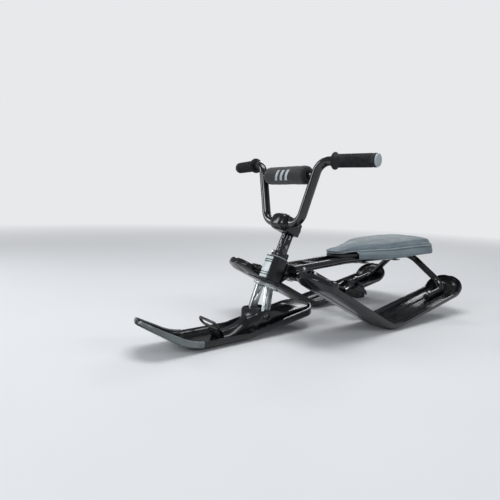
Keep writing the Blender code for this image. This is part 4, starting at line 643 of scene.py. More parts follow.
def build_skis():
    for word, side in SIDES:
        mesh = ski_mesh("rear_ski_skin", REAR_KEEL, REAR_HALF_WIDTH, REAR_FLOOR, REAR_RIMS, REAR_RIDGE,
                        side * SKI_OFFSET)
        plain_piece("rear_ski_%s_moulding" % word, mesh, SKI_PLASTIC, "frame", "black_plastic",
                    "rear_ski_" + word)
    mesh = ski_mesh("front_ski_skin", FRONT_KEEL, FRONT_HALF_WIDTH, FRONT_FLOOR, FRONT_RIMS, 0.0)
    plain_piece("front_ski_moulding", mesh, SKI_PLASTIC, "front_ski", "black_plastic", "front_ski")
    # Pale grey shells over the nose's rims and outer walls: a painted reflection of light on the glossy nose.
    nose = [s for s in FRONT_KEEL if s[0] < NOSE_REFLECTION_END]
    for word, side in SIDES:
        mesh = reflection_shell_over_rim("painted_reflection_nose_shell", nose, FRONT_HALF_WIDTH, FRONT_RIMS, len(FRONT_KEEL) - 1, side)
        plain_piece("nose_trim_" + word, mesh, NOSE_REFLECTION_GREY, "front_ski", "pale_plastic")


# Frame tubes, handlebar and the tow handle

TUBE_RADIUS = 0.011
TOP_TUBE = ((-0.0924, 0.16878), (0.1296, 0.18178), (0.4854, 0.18178))
TOP_TUBE_OFFSET = 0.031
LEG_FOOT = ((0.5185, 0.0763), (0.4043, 0.0562))
FOOT_SLOPE = (0.17365, 0.98481)                     # sine and cosine
CROSS_TUBE, CROSS_TUBE_REACH = (-0.0804, 0.14648), 0.180
TUBE_PLUG = [(0, -0.004), (0.0096, -0.004), (0.0098, 0), (0.0108, 0.0002), (0.0108, 0.0016), (0.009, 0.0026),
             (0, 0.0029)]


def build_tubes():
    for word, side in SIDES:
        points = [(side * TOP_TUBE_OFFSET, *p) for p in TOP_TUBE]
        points += [(side * SKI_OFFSET, *p) for p in LEG_FOOT]
        tube("bent_frame_tube_" + word, points, TUBE_RADIUS, PAINT, "frame", "painted_black",
             "frame_tube_" + word, bend=0.042, steps=16)
        toe = pointing(points[-1], (0, -FOOT_SLOPE[1], -FOOT_SLOPE[0]))
        end = pointing((side * CROSS_TUBE_REACH, *CROSS_TUBE), (side, 0, 0))
        for name, place in (("tube_plug_", toe), ("cross_tube_plug_", end)):
            plain_piece(name + word, turned("tube_plug", TUBE_PLUG, place), BLACK_PLASTIC, "frame",
                        "black_plastic")
    tube("cross_tube", [(side * CROSS_TUBE_REACH, *CROSS_TUBE) for side in (-1, 1)], TUBE_RADIUS, PAINT,
         "frame", "painted_black", "front_cross_tube")


BAR_CENTRE = Vector((0, -0.1134, 0.3020))
BAR_CORNER = Vector((0.068, -0.1134, 0.3020))
BAR_SHOULDER = Vector((0.1170, -0.0953, 0.4688))
BRACE_REACH, BRACE_RADIUS = 0.1068, 0.009
GRIP_START = Vector((0.160, -0.0874, 0.46804))
GRIP_END = Vector((0.274, -0.0664, 0.46604))
PAD_PLACE = Vector((0, -0.0991, 0.4340))
BAR_RADIUS = 0.0125
RIB_MARGIN = 0.013                                  # between a grip's end and its first rib


def mirrored(point, side):
    return Vector((side * point[0], point[1], point[2]))


def build_handlebar():
    left = [BAR_CORNER, BAR_SHOULDER, GRIP_END]
    points = [mirrored(p, -1) for p in left[::-1]] + left
    tube("handlebar_tube", points, BAR_RADIUS, PAINT, "bar", "painted_black", "handlebar", bend=0.040,
         steps=18)
    tube("handlebar_brace", [(side * BRACE_REACH, *PAD_PLACE.yz) for side in (-1, 1)], BRACE_RADIUS, PAINT,
         "bar", "painted_black", sides=24)
    for word, side in SIDES:
        build_grip(word, side)


def build_grip(word, side):
    """Rubber grip with a flange, its ribs and its pale end cap."""
    start, end = mirrored(GRIP_START, side), mirrored(GRIP_END, side)
    way = (end - start).normalized()
    length = (end - start).length
    place = pointing(start, way)
    hold = BAR_RADIUS + 0.0003
    grip = [(hold, 0.0), (0.0205, 0.0), (0.0222, 0.0008), (0.0225, 0.0020), (0.0218, 0.0034),
            (0.0190, 0.0048), (0.0170, 0.0075), (0.0163, 0.0110), (0.0158, length * 0.5),
            (0.0163, length - 0.011), (0.0172, length - 0.006), (0.0172, length - 0.0015), (0.0160, length),
            (hold, length)]
    plain_piece("rubber_grip_" + word, turned("rubber_grip", grip, place, ring=True), RUBBER, "bar",
                "black_rubber", "grip_" + word)
    rib = [(0.0152, -0.0011), (0.0168, -0.0009), (0.0173, 0.0), (0.0168, 0.0009), (0.0152, 0.0011)]
    line = chain([start + way * RIB_MARGIN, end - way * RIB_MARGIN])
    grown_piece("grip_ribs_" + word, ROW_ALONG, line, RUBBER, "bar", "black_rubber",
                shape=turned("rib", rib, sides=36, ring=True), Count=26)
    cap = [(0, length + 0.0003), (0.0158, length + 0.0003), (0.0160, length + 0.0026),
           (0.0150, length + 0.0042), (0.0120, length + 0.0050), (0.0112, length + 0.0040),
           (0.0, length + 0.0036)]
    plain_piece("grip_cap_" + word, turned("grip_cap", cap, place), PALE_PLASTIC, "bar", "pale_plastic",
                "end_plug_" + word)


TOW_LOOP_PLACE, TOW_LOOP_LEAN = (0, -0.3524, 0.046), radians(32)
TOW_LOOP_STRAIGHT, TOW_LOOP_HALF, TOW_LOOP_RADIUS = 0.0295, 0.0115, 0.0034


def build_tow_handle():
    lay = Matrix.Translation(TOW_LOOP_PLACE) @ Matrix.Rotation(TOW_LOOP_LEAN, 4, "X")
    points = []
    for end, start in ((1, -pi / 2), (-1, pi / 2)):
        for k in range(17):
            angle = start + pi * k / 16
            points.append(lay @ Vector((end * TOW_LOOP_STRAIGHT + TOW_LOOP_HALF * cos(angle), 0,
                                        TOW_LOOP_HALF * sin(angle))))
    tube("tow_loop", points, TOW_LOOP_RADIUS, BLACK_PLASTIC, "front_ski", "black_plastic", "tow_handle",
         closed=True, sides=20)


# Seat

SEAT_BASE = 0.2004
SEAT_NOSE, SEAT_TAIL = 0.0846, 0.5496
CROWN_SHARE, RIM_SHARE = 0.45, 0.88                 # of the seat's half width, where the seams run
PIPING_SHARE = 0.58                                 # of the side's height
# The second value is where the painted shade on the seat's lower front ends.
PANEL_START, SHADED_NOSE_END = 0.172, 0.186
CROWN_SLACK = 0.002                                 # how gently the top meets its crown
STUFFING_STEPS = 20
SEAT_STITCHES = (("seat_stitches_inner_", RIM_SHARE, 0.124, 64, -0.0085),
                 ("seat_stitches_outer_", RIM_SHARE, 0.124, 64, -0.0050),
                 ("crown_stitches_", CROWN_SHARE, 0.138, 61, 0.0))


def ease(t):
    t = min(1.0, max(0.0, t))
    return t * t * (3 - 2 * t)


def seat_half_width(y, inset=0.0):
    width = 0.037 + 0.065 * ease((y - 0.2264) / 0.185 + 0.5)
    for reach, power in (((y - SEAT_NOSE - inset) / 0.037, 2.0), ((SEAT_TAIL - inset - y) / 0.06324, 2.6)):
        if reach < 1:
            width *= (1 - (1 - max(reach, 0.0)) ** power) ** (1 / power)
    return max(width - inset, 0.0)


def seam_height(y):
    """Height of the seam along the top edge of the seat's side."""
    return 0.208 + 0.0205 * ease((y - 0.08) / 0.25) + 0.0095 * min(1.0, max(0.0, (y - 0.28) / 0.21))


def seat_crown(x, y):
    """Height of the seat's top, which falls from the middle to the edge seam."""
    middle = 0.2155 + 0.0345 * sin(pi / 2 * min(1.0, max(0.0, y - SEAT_NOSE) / 0.335)) ** 0.95
    middle -= 0.006 * ease((y - 0.47) / 0.08) + 0.004 * ease((0.19 - y) / 0.10)
    share = min(1.0, abs(x) / max(seat_half_width(y), 0.004))
    return middle + (seam_height(y) - middle) * share ** 2.4


def seat_outline(inset, count=70):
    """Closed plan outline (x, y), inset from the seat's edge."""
    first, last = SEAT_NOSE + inset + 0.0012, SEAT_TAIL - inset - 0.002
    left = []
    for k in range(count + 1):
        y = first + (last - first) * (1 - cos(pi * k / count)) / 2
        left.append((seat_half_width(y, inset), y))
    return left + [(-x, y) for x, y in left[::-1]]


def along_seat(share, first, count, shift=0.0):
    """Plan points at a share of the seat's half width, in steps back from first."""
    return [(share * seat_half_width(y) + shift, y) for y in [first + 0.006 * k for k in range(count)]]


def away_from_seat(x, y):
    """Level direction outwards at a point of the seat's outline."""
    way = Vector((x, (y - min(max(y, SEAT_NOSE + 0.05), SEAT_TAIL - 0.07)) * 1.2, 0))
    return way.normalized() if way.length > 1e-6 else Y_AXIS


def puffed(name, node_name, shrink, voxel, pressure, cap, filled=()):
    """Blows up a slightly smaller copy of a soft solid as cloth, and keeps it in the solid's space."""
    low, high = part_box(node_name)
    centre = (low + high) / 2
    mesh = joined_copy(name, node_name)
    bm = bmesh.new()
    bm.from_mesh(mesh)
    shell = BVHTree.FromBMesh(bm)
    bm.free()
    for v in mesh.vertices:
        v.co = centre + Vector([(v.co[i] - centre[i]) * shrink[i] for i in range(3)])
    obj = new_object(name, mesh)
    remesh = obj.modifiers.new("even_faces", "REMESH")
    remesh.mode = "VOXEL"
    remesh.voxel_size = voxel
    start = baked(obj)
    obj.modifiers.clear()
    obj.data = start
    rest = [v.co.copy() for v in start.vertices]
    cloth = obj.modifiers.new("stuffing", "CLOTH")
    cloth.settings.use_pressure = True
    cloth.settings.uniform_pressure_force = pressure
    cloth.settings.effector_weights.gravity = 0.0
    cloth.settings.quality = 5
    cloth.point_cache.frame_start = 1
    cloth.point_cache.frame_end = STUFFING_STEPS
    for step in range(1, STUFFING_STEPS + 1):
        bpy.context.scene.frame_set(step)
    full = baked(obj)
    places = [v.co.copy() for v in full.vertices]
    bpy.context.scene.frame_set(1)
    obj.modifiers.clear()
    for v, old, new in zip(start.vertices, rest, places):
        move = new - old
        if move.length > cap:
            move = move.normalized() * cap
        v.co = old + move
    for axis in filled:
        places = [v.co[axis] for v in start.vertices]
        middle, reach = (max(places) + min(places)) / 2, (max(places) - min(places)) / 2
        for v in start.vertices:
            v.co[axis] = centre[axis] + (v.co[axis] - middle) * (high[axis] - centre[axis]) * 0.995 / reach
    hold_inside(start, shell, 0.0004)
    return obj


def hold_inside(mesh, shell, gap):
    """Brings points that stand outside a closed shell back to just under it."""
    for v in mesh.vertices:
        place, way, _, distance = shell.find_nearest(v.co)
        if place is not None and (v.co - place).dot(way) > -gap:
            v.co = place - way * gap


def subdivided(obj):
    fine_faces(obj)
    mesh = baked(obj)
    obj.modifiers.clear()
    obj.data = mesh
    return mesh


def sunk_along(mesh, line, depth, width, way):
    """Presses a sewn channel into a mesh along a chain of points, seen along way."""
    places, facing = np.empty(len(mesh.vertices) * 3), np.empty(len(mesh.vertices) * 3)
    mesh.vertices.foreach_get("co", places)
    mesh.vertices.foreach_get("normal", facing)
    places, facing, down = places.reshape(-1, 3), facing.reshape(-1, 3), np.array(way)
    flat = np.eye(3) - np.outer(down, down)
    seen = places @ flat
    nearest = np.full(len(places), 1.0)
    for start, end in zip(line, line[1:]):
        start, run = np.array(start) @ flat, np.array(end - start) @ flat
        share = np.clip((seen - start) @ run / max(run @ run, 1e-12), 0, 1)
        nearest = np.minimum(nearest, np.linalg.norm(seen - start - share[:, None] * run, axis=1))
    press = depth * np.exp(-(nearest / width) ** 2) * (facing @ down < -0.3)
    mesh.vertices.foreach_set("co", (places + press[:, None] * down).ravel())
    mesh.update()


def surface_of(obj):
    bm = bmesh.new()
    bm.from_mesh(obj.data)
    tree = BVHTree.FromBMesh(bm)
    bm.free()
    return tree


def dropped(surface, plan, lift):
    """Plan points laid on a surface from above."""
    hits = [surface.ray_cast(Vector((x, y, 1.0)), DOWN)[0] for x, y in plan]
    return [hit + Z_AXIS * lift for hit in hits if hit is not None]


def from_side(surface, x, y, z):
    """Where a surface is met from outside at a point of the seat's outline."""
    away = away_from_seat(x, y)
    return surface.ray_cast(Vector((x, y, z)) + away * 0.05, -away)[0]


def side_height(y, share):
    return SEAT_BASE + share * (seam_height(y) - SEAT_BASE)


def pressed_from_side(surface, share, lift):
    """Points round the seat's edge at a share of its height, laid on the surface from outside."""
    hits = [(x, y, from_side(surface, x, y, side_height(y, share))) for x, y in seat_outline(0.0)]
    return [hit + away_from_seat(x, y) * lift for x, y, hit in hits if hit is not None]


def evened(points, spacing, closed=True):
    """Points resampled to an even spacing, so that no two lie too close."""
    kept = [points[0]]
    for point in points[1:]:
        if (point - kept[-1]).length > spacing:
            kept.append(point)
    if closed and (kept[-1] - kept[0]).length < spacing:
        kept.pop()
    return kept


def stitch_row(name, points, body, slot, pitch=0.0052, size=0.0006):
    """Thread stitches along a line, each a short rounded bar."""
    half = pitch * 0.34
    profile = [(0, -half), (size * 0.7, -half * 0.9), (size, -half * 0.5), (size, half * 0.5),
               (size * 0.7, half * 0.9), (0, half)]
    length = sum((b - a).length for a, b in zip(points, points[1:]))
    return grown_piece(name, ROW_ALONG, chain(points), THREAD, body, slot,
                       shape=turned("stitch", profile, sides=6), Count=max(2, int(length / pitch)))


def long_seams(surface, share, first, count):
    """Left and right seam on the seat's top at a share of its half width."""
    left = evened(dropped(surface, along_seat(share, first, count), 0.0), 0.004, False)
    return left, [mirrored(p, -1) for p in left]


def cross_seam(start, end, steps, bulge):
    """Bowed line across the seat between the ends of its two long seams."""
    return [start] + [Vector((start.x * (1 - 2 * k / steps), start.y + bulge * sin(pi * k / steps),
                              start.z)) for k in range(1, steps)] + [end]


def build_cushion():
    obj = puffed("seat_upholstery", "seat_cushion", shrink=(0.95, 0.98, 0.9), voxel=0.005, pressure=4.0,
                 cap=0.012, filled=(0, 1))
    mesh = subdivided(obj)
    for v in mesh.vertices:
        over = v.co.z - seat_crown(v.co.x, v.co.y)
        if over > -CROWN_SLACK:
            v.co.z -= over + CROWN_SLACK * exp(-(over + CROWN_SLACK) / CROWN_SLACK)
    surface = surface_of(obj)
    left, right = long_seams(surface, CROWN_SHARE, 0.132, 64)
    across = (cross_seam(left[-1], right[-1], 12, 0.008), cross_seam(left[0], right[0], 8, -0.005))
    for line in (left, right, *across):
        sunk_along(mesh, line, depth=0.0016, width=0.0034, way=DOWN)
    for line in long_seams(surface, RIM_SHARE, 0.118, 66):
        sunk_along(mesh, line, depth=0.0024, width=0.0026, way=DOWN)
    for v in mesh.vertices:
        crease = noise.noise(v.co * 38) * 0.0007 + noise.noise(v.co * 90) * 0.0003
        if v.co.z > SEAT_BASE + 0.004:
            v.co += v.normal * crease
        v.co.z = max(v.co.z, SEAT_BASE)
    finished(mesh, VINYL, NOSE_SHADE_VINYL)
    # Faces below the piping and ahead of the nose's end take the near-black vinyl: painted shade on the seat's
    # front face.
    for face in mesh.polygons:
        low = face.center.z < side_height(face.center.y, PIPING_SHARE)
        face.material_index = 1 if low and face.center.y < SHADED_NOSE_END else 0
    mesh.shade_smooth()
    fit(obj, "frame", "charcoal_vinyl", "seat_cushion")
    surface = surface_of(obj)
    edge = evened(pressed_from_side(surface, PIPING_SHARE, 0.0014), 0.004)
    # The piping takes the paler vinyl, a painted highlight along the seat's edge.
    tube("seat_edge_piping", edge, 0.0023, PIPING_PAINTED_HIGHLIGHT, "frame", "charcoal_vinyl", closed=True, sides=10)
    build_side_panel(surface)
    for word, side in SIDES:
        for name, *row in SEAT_STITCHES:
            plan = [(side * x, y) for x, y in along_seat(*row)]
            points = evened(dropped(surface, plan, 0.0001), 0.003, False)
            stitch_row(name + word, points, "frame", "charcoal_vinyl")


def build_side_panel(surface):
    """Side panel of the upholstery, from the piping down over the pan's edge, open at the nose."""
    rows = []
    for x, y in seat_outline(0.0, 110):
        if y <= PANEL_START:
            continue
        away = away_from_seat(x, y)
        low = 0.1835 + 0.0085 * ease((y - PANEL_START) / 0.33)
        top = side_height(y, 0.5)
        hit = from_side(surface, x, y, top)
        hit = hit if hit is not None else Vector((x, y, top))
        edge = Vector((x, y, 0)) + away * 0.0012
        row = [Vector((edge.x, edge.y, z)) + away * lift for z, lift in (
            (low, 0.0), (low + 0.0016, 0.0006), (low + 0.007, 0.0010), (SEAT_BASE + 0.001, 0.0010))]
        rows.append(row + [Vector((edge.x, edge.y, SEAT_BASE)).lerp(hit, 0.55) + away * 0.0013,
                           hit + away * 0.0006 + Z_AXIS * 0.0002])
    plain_piece("seat_side_panel", sheet("side_panel", rows, 0.0014, 50, fine=True), VINYL, "frame",
                "charcoal_vinyl")
    hem = [row[2] + Vector((row[2].x, 0, 0)).normalized() * 0.0009 for row in rows]
    stitch_row("side_panel_stitches", evened(hem, 0.003, False), "frame", "charcoal_vinyl", size=0.0005)


def build_pad():
    obj = puffed("foam_bar_pad", "bar_pad", shrink=(0.97, 0.93, 0.93), voxel=0.004, pressure=3.0, cap=0.004)
    mesh = subdivided(obj)
    back = [PAD_PLACE + Vector((x * 0.01, 0.026, 0.004)) for x in range(-8, 9)]
    sunk_along(mesh, back, depth=0.0024, width=0.0024, way=-Y_AXIS)
    for v in mesh.vertices:
        across = v.co - PAD_PLACE
        across.x = 0
        if across.length > 0.014:
            v.co += across.normalized() * (0.0006 * noise.noise(v.co * 60) - 0.0002)
        elif across.length < 0.0095:
            v.co += across.normalized() * (0.0095 - across.length)
    finished(mesh, CLOTH)
    mesh.shade_smooth()
    fit(obj, "bar", "black_foam", "bar_pad")
    surface = surface_of(obj)
    for word, shift in (("upper", 0.0075), ("lower", 0.0005)):
        starts = [PAD_PLACE + Vector((-0.076 + 0.152 * n / 32, 0.06, shift)) for n in range(33)]
        hits = [surface.ray_cast(start, -Y_AXIS)[0] for start in starts]
        stitch_row("pad_stitches_" + word, [hit for hit in hits if hit is not None], "bar", "black_foam",
                   pitch=0.0048)
    build_pad_bars(surface)


def build_pad_bars(surface):
    """Plain slanted bars printed on the pad's front, laid on its surface."""
    width, columns, steps = 0.010, 4, 12
    for k, centre in enumerate((-0.020, 0.0, 0.020)):
        rows = []
        for n in range(steps + 1):
            angle = radians(-34 + 68 * n / steps)
            way = Vector((0, -cos(angle), sin(angle)))
            row = []
            for column in range(columns + 1):
                x = centre + width * (column / columns - 0.5) + 0.009 * sin(angle)
                hit = surface.ray_cast(PAD_PLACE + Vector((x, 0, 0)) + way * 0.05, -way)[0]
                if hit is None:
                    hit = PAD_PLACE + Vector((x, 0, 0)) + way * 0.0275
                row.append(hit + way * 0.0004)
            rows.append(row)
        plain_piece("pad_bar_%d" % (k + 1), sheet("pad_bar", rows, 0.0005, 60), PALE_PLASTIC, "bar",
                    "pale_plastic")


# Clamp

CLAMP_HEIGHT = 0.1735                               # along the head axes
DOME_BACK, DOME_HALF = -0.0353, (0.034, 0.0265, 0.0245)


def rounded(value, power):
    """A ring's cosine or sine drawn out towards a rounded square."""
    return copysign(abs(value) ** power, value)


def clamp_dome():
    """Rounded front cover of the clamp."""
    rings = []
    for k in range(18):
        angle = pi / 2 * k / 18
        reach, ahead = cos(angle) ** 0.72, sin(angle) ** 0.72
        wide, y, high = reach * DOME_HALF[0], DOME_BACK - ahead * DOME_HALF[1], reach * DOME_HALF[2]
        rings.append([head_axes @ Vector((rounded(c, 0.62) * wide, y, CLAMP_HEIGHT + rounded(s, 0.62) * high))
                      for c, s in circle(40)])
    return lofted("clamp_dome", rings, smooth_angle=60)


def tube_cutter():
    """Straight round cutter along the bar's middle."""
    place = Matrix.Translation(BAR_CENTRE) @ Matrix.Rotation(pi / 2, 4, "Y")
    radius = BAR_RADIUS + 0.0002
    return lofted("cutter", [[place @ Vector((radius * c, radius * s, z)) for c, s in circle(48)]
                             for z in (-0.03, 0.03)])


def build_clamp():
    mesh = cut_shape(clamp_dome(), [tube_cutter()])
    plain_piece("clamp_dome", sealed(mesh, 50), SKI_PLASTIC, "bar", "black_plastic", "clamp_cap")


# Fasteners

def socket_screw():
    """Domed screw with a six-sided socket, its seat at the origin."""
    profile = [(0.0028, -0.006), (0.0028, 0.0002), (0.0062, 0.0003), (0.0062, 0.0020), (0.0058, 0.0033),
               (0.0046, 0.0043), (0.0033, 0.0045)]
    sides = 24
    rings = [[(r * c, r * s, z) for c, s in circle(sides)] for r, z in profile]
    for z in (0.0044, 0.0018):
        ring = []
        for k, (c, s) in enumerate(circle(sides)):
            edge = (2 * pi * k / sides + pi / 6) % (pi / 3) - pi / 6
            reach = 0.0023 / cos(edge)
            ring.append((reach * c, reach * s, z))
        rings.append(ring)
    return lofted("socket_screw", rings, smooth_angle=30)


FOOT_SCREW = (0.42039, 0.07018)
SADDLE_TOP, SADDLE_SLOPE = (-0.09125, 0.12564), (0.46175, 0.88701)      # slope as sine and cosine
SADDLE_SCREW_REACH, SADDLE_SCREW_LIFT = 0.0212, 0.007
SEAT_SCREWS, SEAT_SCREW_HEIGHT = (("front", 0.2196), ("rear", 0.3896)), 0.16648
HEIGHT_STEP, POST_MIDDLE, HEIGHTS = 0.027, 0.087, (-1, 0, 1, 2)
POST_FRONT, POST_FLANK = -0.015, 0.01205
CLAMP_BOLTS = ("clamp_bolt_lower", "clamp_bolt_upper")
CLAMP_SCREW_SEAT, CLAMP_SCREW_REACH = -0.0440, 0.0177
EYELET = [(0.0037, 0.0), (0.0058, 0.0), (0.0056, 0.0002), (0.0039, 0.0002)]


def build_fasteners():
    places, names = [], []
    lean, rise = SADDLE_SLOPE
    for word, side in SIDES:
        places.append((Vector((side * SKI_OFFSET, *FOOT_SCREW)), Vector((0, -FOOT_SLOPE[0], FOOT_SLOPE[1]))))
        names.append("foot_bolt_" + word)
        for place, along in (("front", -SADDLE_SCREW_REACH), ("rear", SADDLE_SCREW_REACH)):
            seat = Vector((side * SKI_OFFSET, SADDLE_TOP[0] + along * rise + SADDLE_SCREW_LIFT * lean,
                           SADDLE_TOP[1] - along * lean + SADDLE_SCREW_LIFT * rise))
            places.append((seat, Vector((0, lean, rise))))
            names.append("saddle_bolt_%s_%s" % (place, word))
    for word, y in SEAT_SCREWS:
        places.append((Vector((0, y, SEAT_SCREW_HEIGHT)), DOWN))
        names.append("seat_bolt_" + word)
    ahead = head_axes.to_3x3() @ -Y_AXIS
    in_clamp = [(head_axes @ Vector((0, CLAMP_SCREW_SEAT, CLAMP_HEIGHT + way * CLAMP_SCREW_REACH)), ahead)
                for way in (-1, 1)]
    for name, body, points, nodes in (("frame_screws", "frame", places, names),
                                      ("clamp_screws", "bar", in_clamp, CLAMP_BOLTS)):
        grown_piece(name, FASTENERS, facing_points(points), STEEL, body, "plated_steel", *nodes,
                    shape=socket_screw(), Smooth_Angle=radians(30))
    holes = [(head_axes @ Vector((0, POST_FRONT, POST_MIDDLE + HEIGHT_STEP * k)), ahead) for k in HEIGHTS]
    grown_piece("height_eyelets", FASTENERS, facing_points(holes), PALE_PLASTIC, "bar", "pale_plastic",
                shape=turned("eyelet", EYELET, sides=28, ring=True))


# Height numbers on the post's flanks

FIGURE_SIZE, FIGURE_DEPTH, FIGURE_WEIGHT = 0.0165, 0.00014, 0.0004


def flat_figure(words, place):
    curve = bpy.data.curves.new("figure", "FONT")
    curve.body = words
    curve.size, curve.extrude, curve.offset = FIGURE_SIZE, FIGURE_DEPTH, FIGURE_WEIGHT
    curve.align_x = curve.align_y = "CENTER"
    obj = new_object("figure", curve)
    mesh = baked(obj)
    discard(obj)
    mesh.transform(place)
    return sealed(mesh)


def build_numbers():
    for word, side in SIDES:
        turn = Matrix.Rotation(side * pi / 2, 4, "Z") @ Matrix.Rotation(pi / 2, 4, "X")
        bm = bmesh.new()
        for k in HEIGHTS:
            flank = Matrix.Translation((side * POST_FLANK, 0.001, POST_MIDDLE + HEIGHT_STEP * k))
            bm.from_mesh(flat_figure(str(5 - k), head_axes @ flank @ turn))
        mesh = bpy.data.meshes.new("height_numbers")
        bm.to_mesh(mesh)
        bm.free()
        plain_piece("height_numbers_" + word, mesh, PALE_PLASTIC, "bar", "pale_plastic")


# Fork, brake and spring

def keyhole(place, length, radius, depth):
    """Slot cutter along the +Z of place, wider at its lower end, through X."""
    points = []
    for k in range(13):
        angle = pi * k / 12
        points.append((radius * 0.6 * cos(angle), length / 2 + radius * 0.6 * sin(angle)))
    for k in range(17):
        angle = radians(140) + radians(260) * k / 16
        points.append((radius * cos(angle), -length / 2 + radius * sin(angle)))
    rings = [[place @ Vector((x, a, b)) for a, b in points] for x in (-depth / 2, depth / 2)]
    return lofted("keyhole", rings)


def build_fork():
    for word, side in SIDES:
        slot = keyhole(head_axes @ Matrix.Translation((side * 0.021, -0.009, -0.046)), length=0.016,
                       radius=0.0036, depth=0.02)
        mesh = cut_shape(joined_copy("fork_leg_%s_channel" % word, "fork_leg_" + word), [slot], 0.0008)
        plain_piece("fork_leg_%s_channel" % word, sealed(mesh), STEEL, "steering", "plated_steel",
                    "fork_leg_" + word)


BRAKE_PIVOT = Vector((0, -0.0004, 0.148172))
SPRING_START, SPRING_PITCH, SPRING_RADIUS, WIRE_RADIUS = 0.0098, 0.0024, 0.0055, 0.0009
SPRING_TURNS, SPRING_STEPS = 3, 24
TREAD = ((-0.0006, -0.0013), (0.0010, -0.0013), (0.0013, 0.0), (0.0010, 0.0013), (-0.0006, 0.0013))
PEDAL_OFFSET, PEDAL_TOP = 0.061, 0.0885


def build_brake_details():
    points = [(0.0085, -0.001, 0.015), (0.0085, SPRING_RADIUS * 0.99, 0.002)]
    for k in range(2, SPRING_TURNS * SPRING_STEPS + 1):
        angle = 2 * pi * k / SPRING_STEPS
        points.append((SPRING_START + SPRING_PITCH * k / SPRING_STEPS, SPRING_RADIUS * cos(angle),
                       SPRING_RADIUS * sin(angle)))
    points = [BRAKE_PIVOT + Vector(p) for p in points]
    points.append(points[-1] + Vector((0.0004, 0.0, -0.012)))
    tube("torsion_spring", points, WIRE_RADIUS, STEEL, "frame", "plated_steel", "brake_spring", sides=10)
    for word, side in SIDES:
        node_name = "brake_pedal_" + word
        plain_piece("pedal_pad_" + word, joined_copy("pedal_pad", node_name), RUBBER, "brake", "black_rubber",
                    node_name, bevel=0.002)
        bar = lofted("tread", [[(x, a, b) for a, b in TREAD] for x in (-0.0195, 0.0195)])
        line = [Vector((side * PEDAL_OFFSET, y, PEDAL_TOP)) for y in (0.1320, 0.1632)]
        grown_piece("pedal_treads_" + word, ROW_ALONG, chain(line), RUBBER, "brake", "black_rubber",
                    shape=bar, Count=6)


# Solids that stay, with joined faces, rounded edges and their finishes

ROUNDED = {name: width for width, names in (
    (0.0045, "clamp_body"), (0.0016, "head_cover seat_pan"), (0.0014, "ski_tower"),
    (0.0012, "head_visor height_collar neck_block"), (0.0010, "saddle_left saddle_right"),
    (0.0009, "fork_crown"), (0.0008, "brake_hanger seat_strap_front seat_strap_rear handle_plug clamp_knob"),
    (0.0006, "brake_claw neck_strap brake_frame"), (0.0004, "bar_post height_pin ski_pivot_nut"),
    (0.0003, "label_plate")) for name in names.split()}
SPECIAL = {"label_plate": LABEL, "brake_claw": DARK_STEEL, "ski_tower": SKI_PLASTIC,
           "handle_plug": SKI_PLASTIC, "clamp_knob": PALE_PLASTIC}


def dress_solids():
    slots = {part["node"]: part["material_slot"] for part in frame["record"]["subparts"]}
    for name, obj in frame["nodes"].items():
        finish = SPECIAL.get(name, FINISH[slots[name]])
        if not obj.material_slots:
            obj.data.materials.append(finish)
        for slot in obj.material_slots:
            slot.material = finish
        if obj.hide_render:
            continue
        join = obj.modifiers.new("joined_faces", "WELD")
        join.merge_threshold = 0.00001
        if name in ROUNDED:
            soften(obj, ROUNDED[name])
        set_tree(obj, SMOOTH_SHELL, {"Smooth Angle": radians(40)})


# Floor, world and lamps

BACKDROP = (0.80, 0.815, 0.83)
FLOOR_LEVEL, FLOOR_REACH = -0.0032, 30


def seen_by(tree, *rays):
    """One for either of two kinds of ray, otherwise nought."""
    path = node(tree, "ShaderNodeLightPath").outputs
    return maths(tree, "MAXIMUM", *[path["Is %s Ray" % ray] for ray in rays])


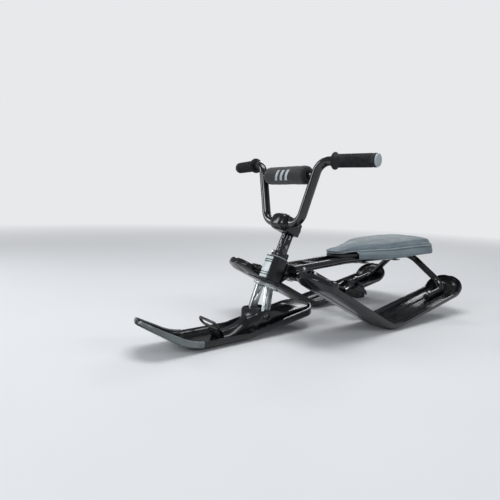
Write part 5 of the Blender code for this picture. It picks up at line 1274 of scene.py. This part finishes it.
def build_stage():
    """Pale floor, set just low enough to clear the front ski's inside when the ski leans or rocks."""
    near, far = -FLOOR_REACH, FLOOR_REACH
    corners = [(x, y, FLOOR_LEVEL) for x, y in ((near, near), (far, near), (far, far), (near, far))]
    floor = new_object("studio_floor", raw_mesh("floor", corners, [(0, 1, 2, 3)]))
    pale = Finish("pale_floor", Roughness=0.85)
    tree = pale.tree
    pale.colour(pale.speckle(3.0, 3.0), (0.77, 0.785, 0.80), BACKDROP)
    reach = out(tree, "ShaderNodeVectorMath", {0: pale.place}, "Value", operation="LENGTH")
    glow = out(tree, "ShaderNodeEmission", {"Color": rgb(BACKDROP), "Strength": 1.0})
    share = maths(tree, "MULTIPLY", pale.ranged(reach, 1.2, 4.5), seen_by(tree, "Camera", "Glossy"))
    both = out(tree, "ShaderNodeMixShader", {0: share, 1: pale.shader.outputs[0], 2: glow})
    tree.links.new(both, tree.nodes["Material Output"].inputs["Surface"])
    finished(floor.data, pale.made)


def build_world():
    world = bpy.data.worlds.new("studio_world")
    bpy.context.scene.world = world
    world.use_nodes = True
    tree = world.node_tree
    tree.nodes.clear()
    soft = out(tree, "ShaderNodeBackground", {"Color": (0.9, 0.94, 1.0, 1.0), "Strength": 0.26})
    pale = out(tree, "ShaderNodeBackground", {"Color": rgb(BACKDROP), "Strength": 1.0})
    both = out(tree, "ShaderNodeMixShader", {0: seen_by(tree, "Camera", "Transmission"), 1: soft, 2: pale})
    node(tree, "ShaderNodeOutputWorld", {"Surface": both})


def lamp(name, place, aim, width, height, watts, colour=(1, 1, 1)):
    data = bpy.data.lights.new(name, "AREA")
    data.shape = "RECTANGLE"
    data.size, data.size_y = width, height
    data.energy = watts
    data.color = colour
    obj = bpy.data.objects.new(name, data)
    bpy.context.scene.collection.objects.link(obj)
    obj.location = place
    obj.rotation_mode = "QUATERNION"
    obj.rotation_quaternion = (Vector(place) - Vector(aim)).to_track_quat("Z", "Y")


def build_lamps():
    lamp("soft_box_above", (0.1, -0.1, 2.4), (0, 0, 0.1), 1.6, 0.9, 27)
    lamp("soft_box_front", (0.4, -2.6, 1.5), (0, -0.1, 0.25), 1.2, 0.7, 19, (0.95, 0.98, 1.0))
    lamp("strip_left", (2.5, 0.9, 1.4), (0, 0.1, 0.2), 1.6, 0.35, 15, (0.93, 0.97, 1.0))
    lamp("strip_right", (-1.7, -1.7, 1.1), (0, 0, 0.3), 0.5, 1.2, 15, (0.94, 0.97, 1.0))
    lamp("rim_strip", (-1.4, 2.0, 1.6), (0, 0, 0.3), 1.8, 0.4, 13)


for build in (build_skis, build_tubes, build_handlebar, build_clamp, build_tow_handle, build_cushion,
              build_pad, build_fasteners, build_numbers, build_fork, build_brake_details, dress_solids,
              build_stage, build_world, build_lamps):
    build()
bpy.context.scene.view_settings.view_transform = "Standard"
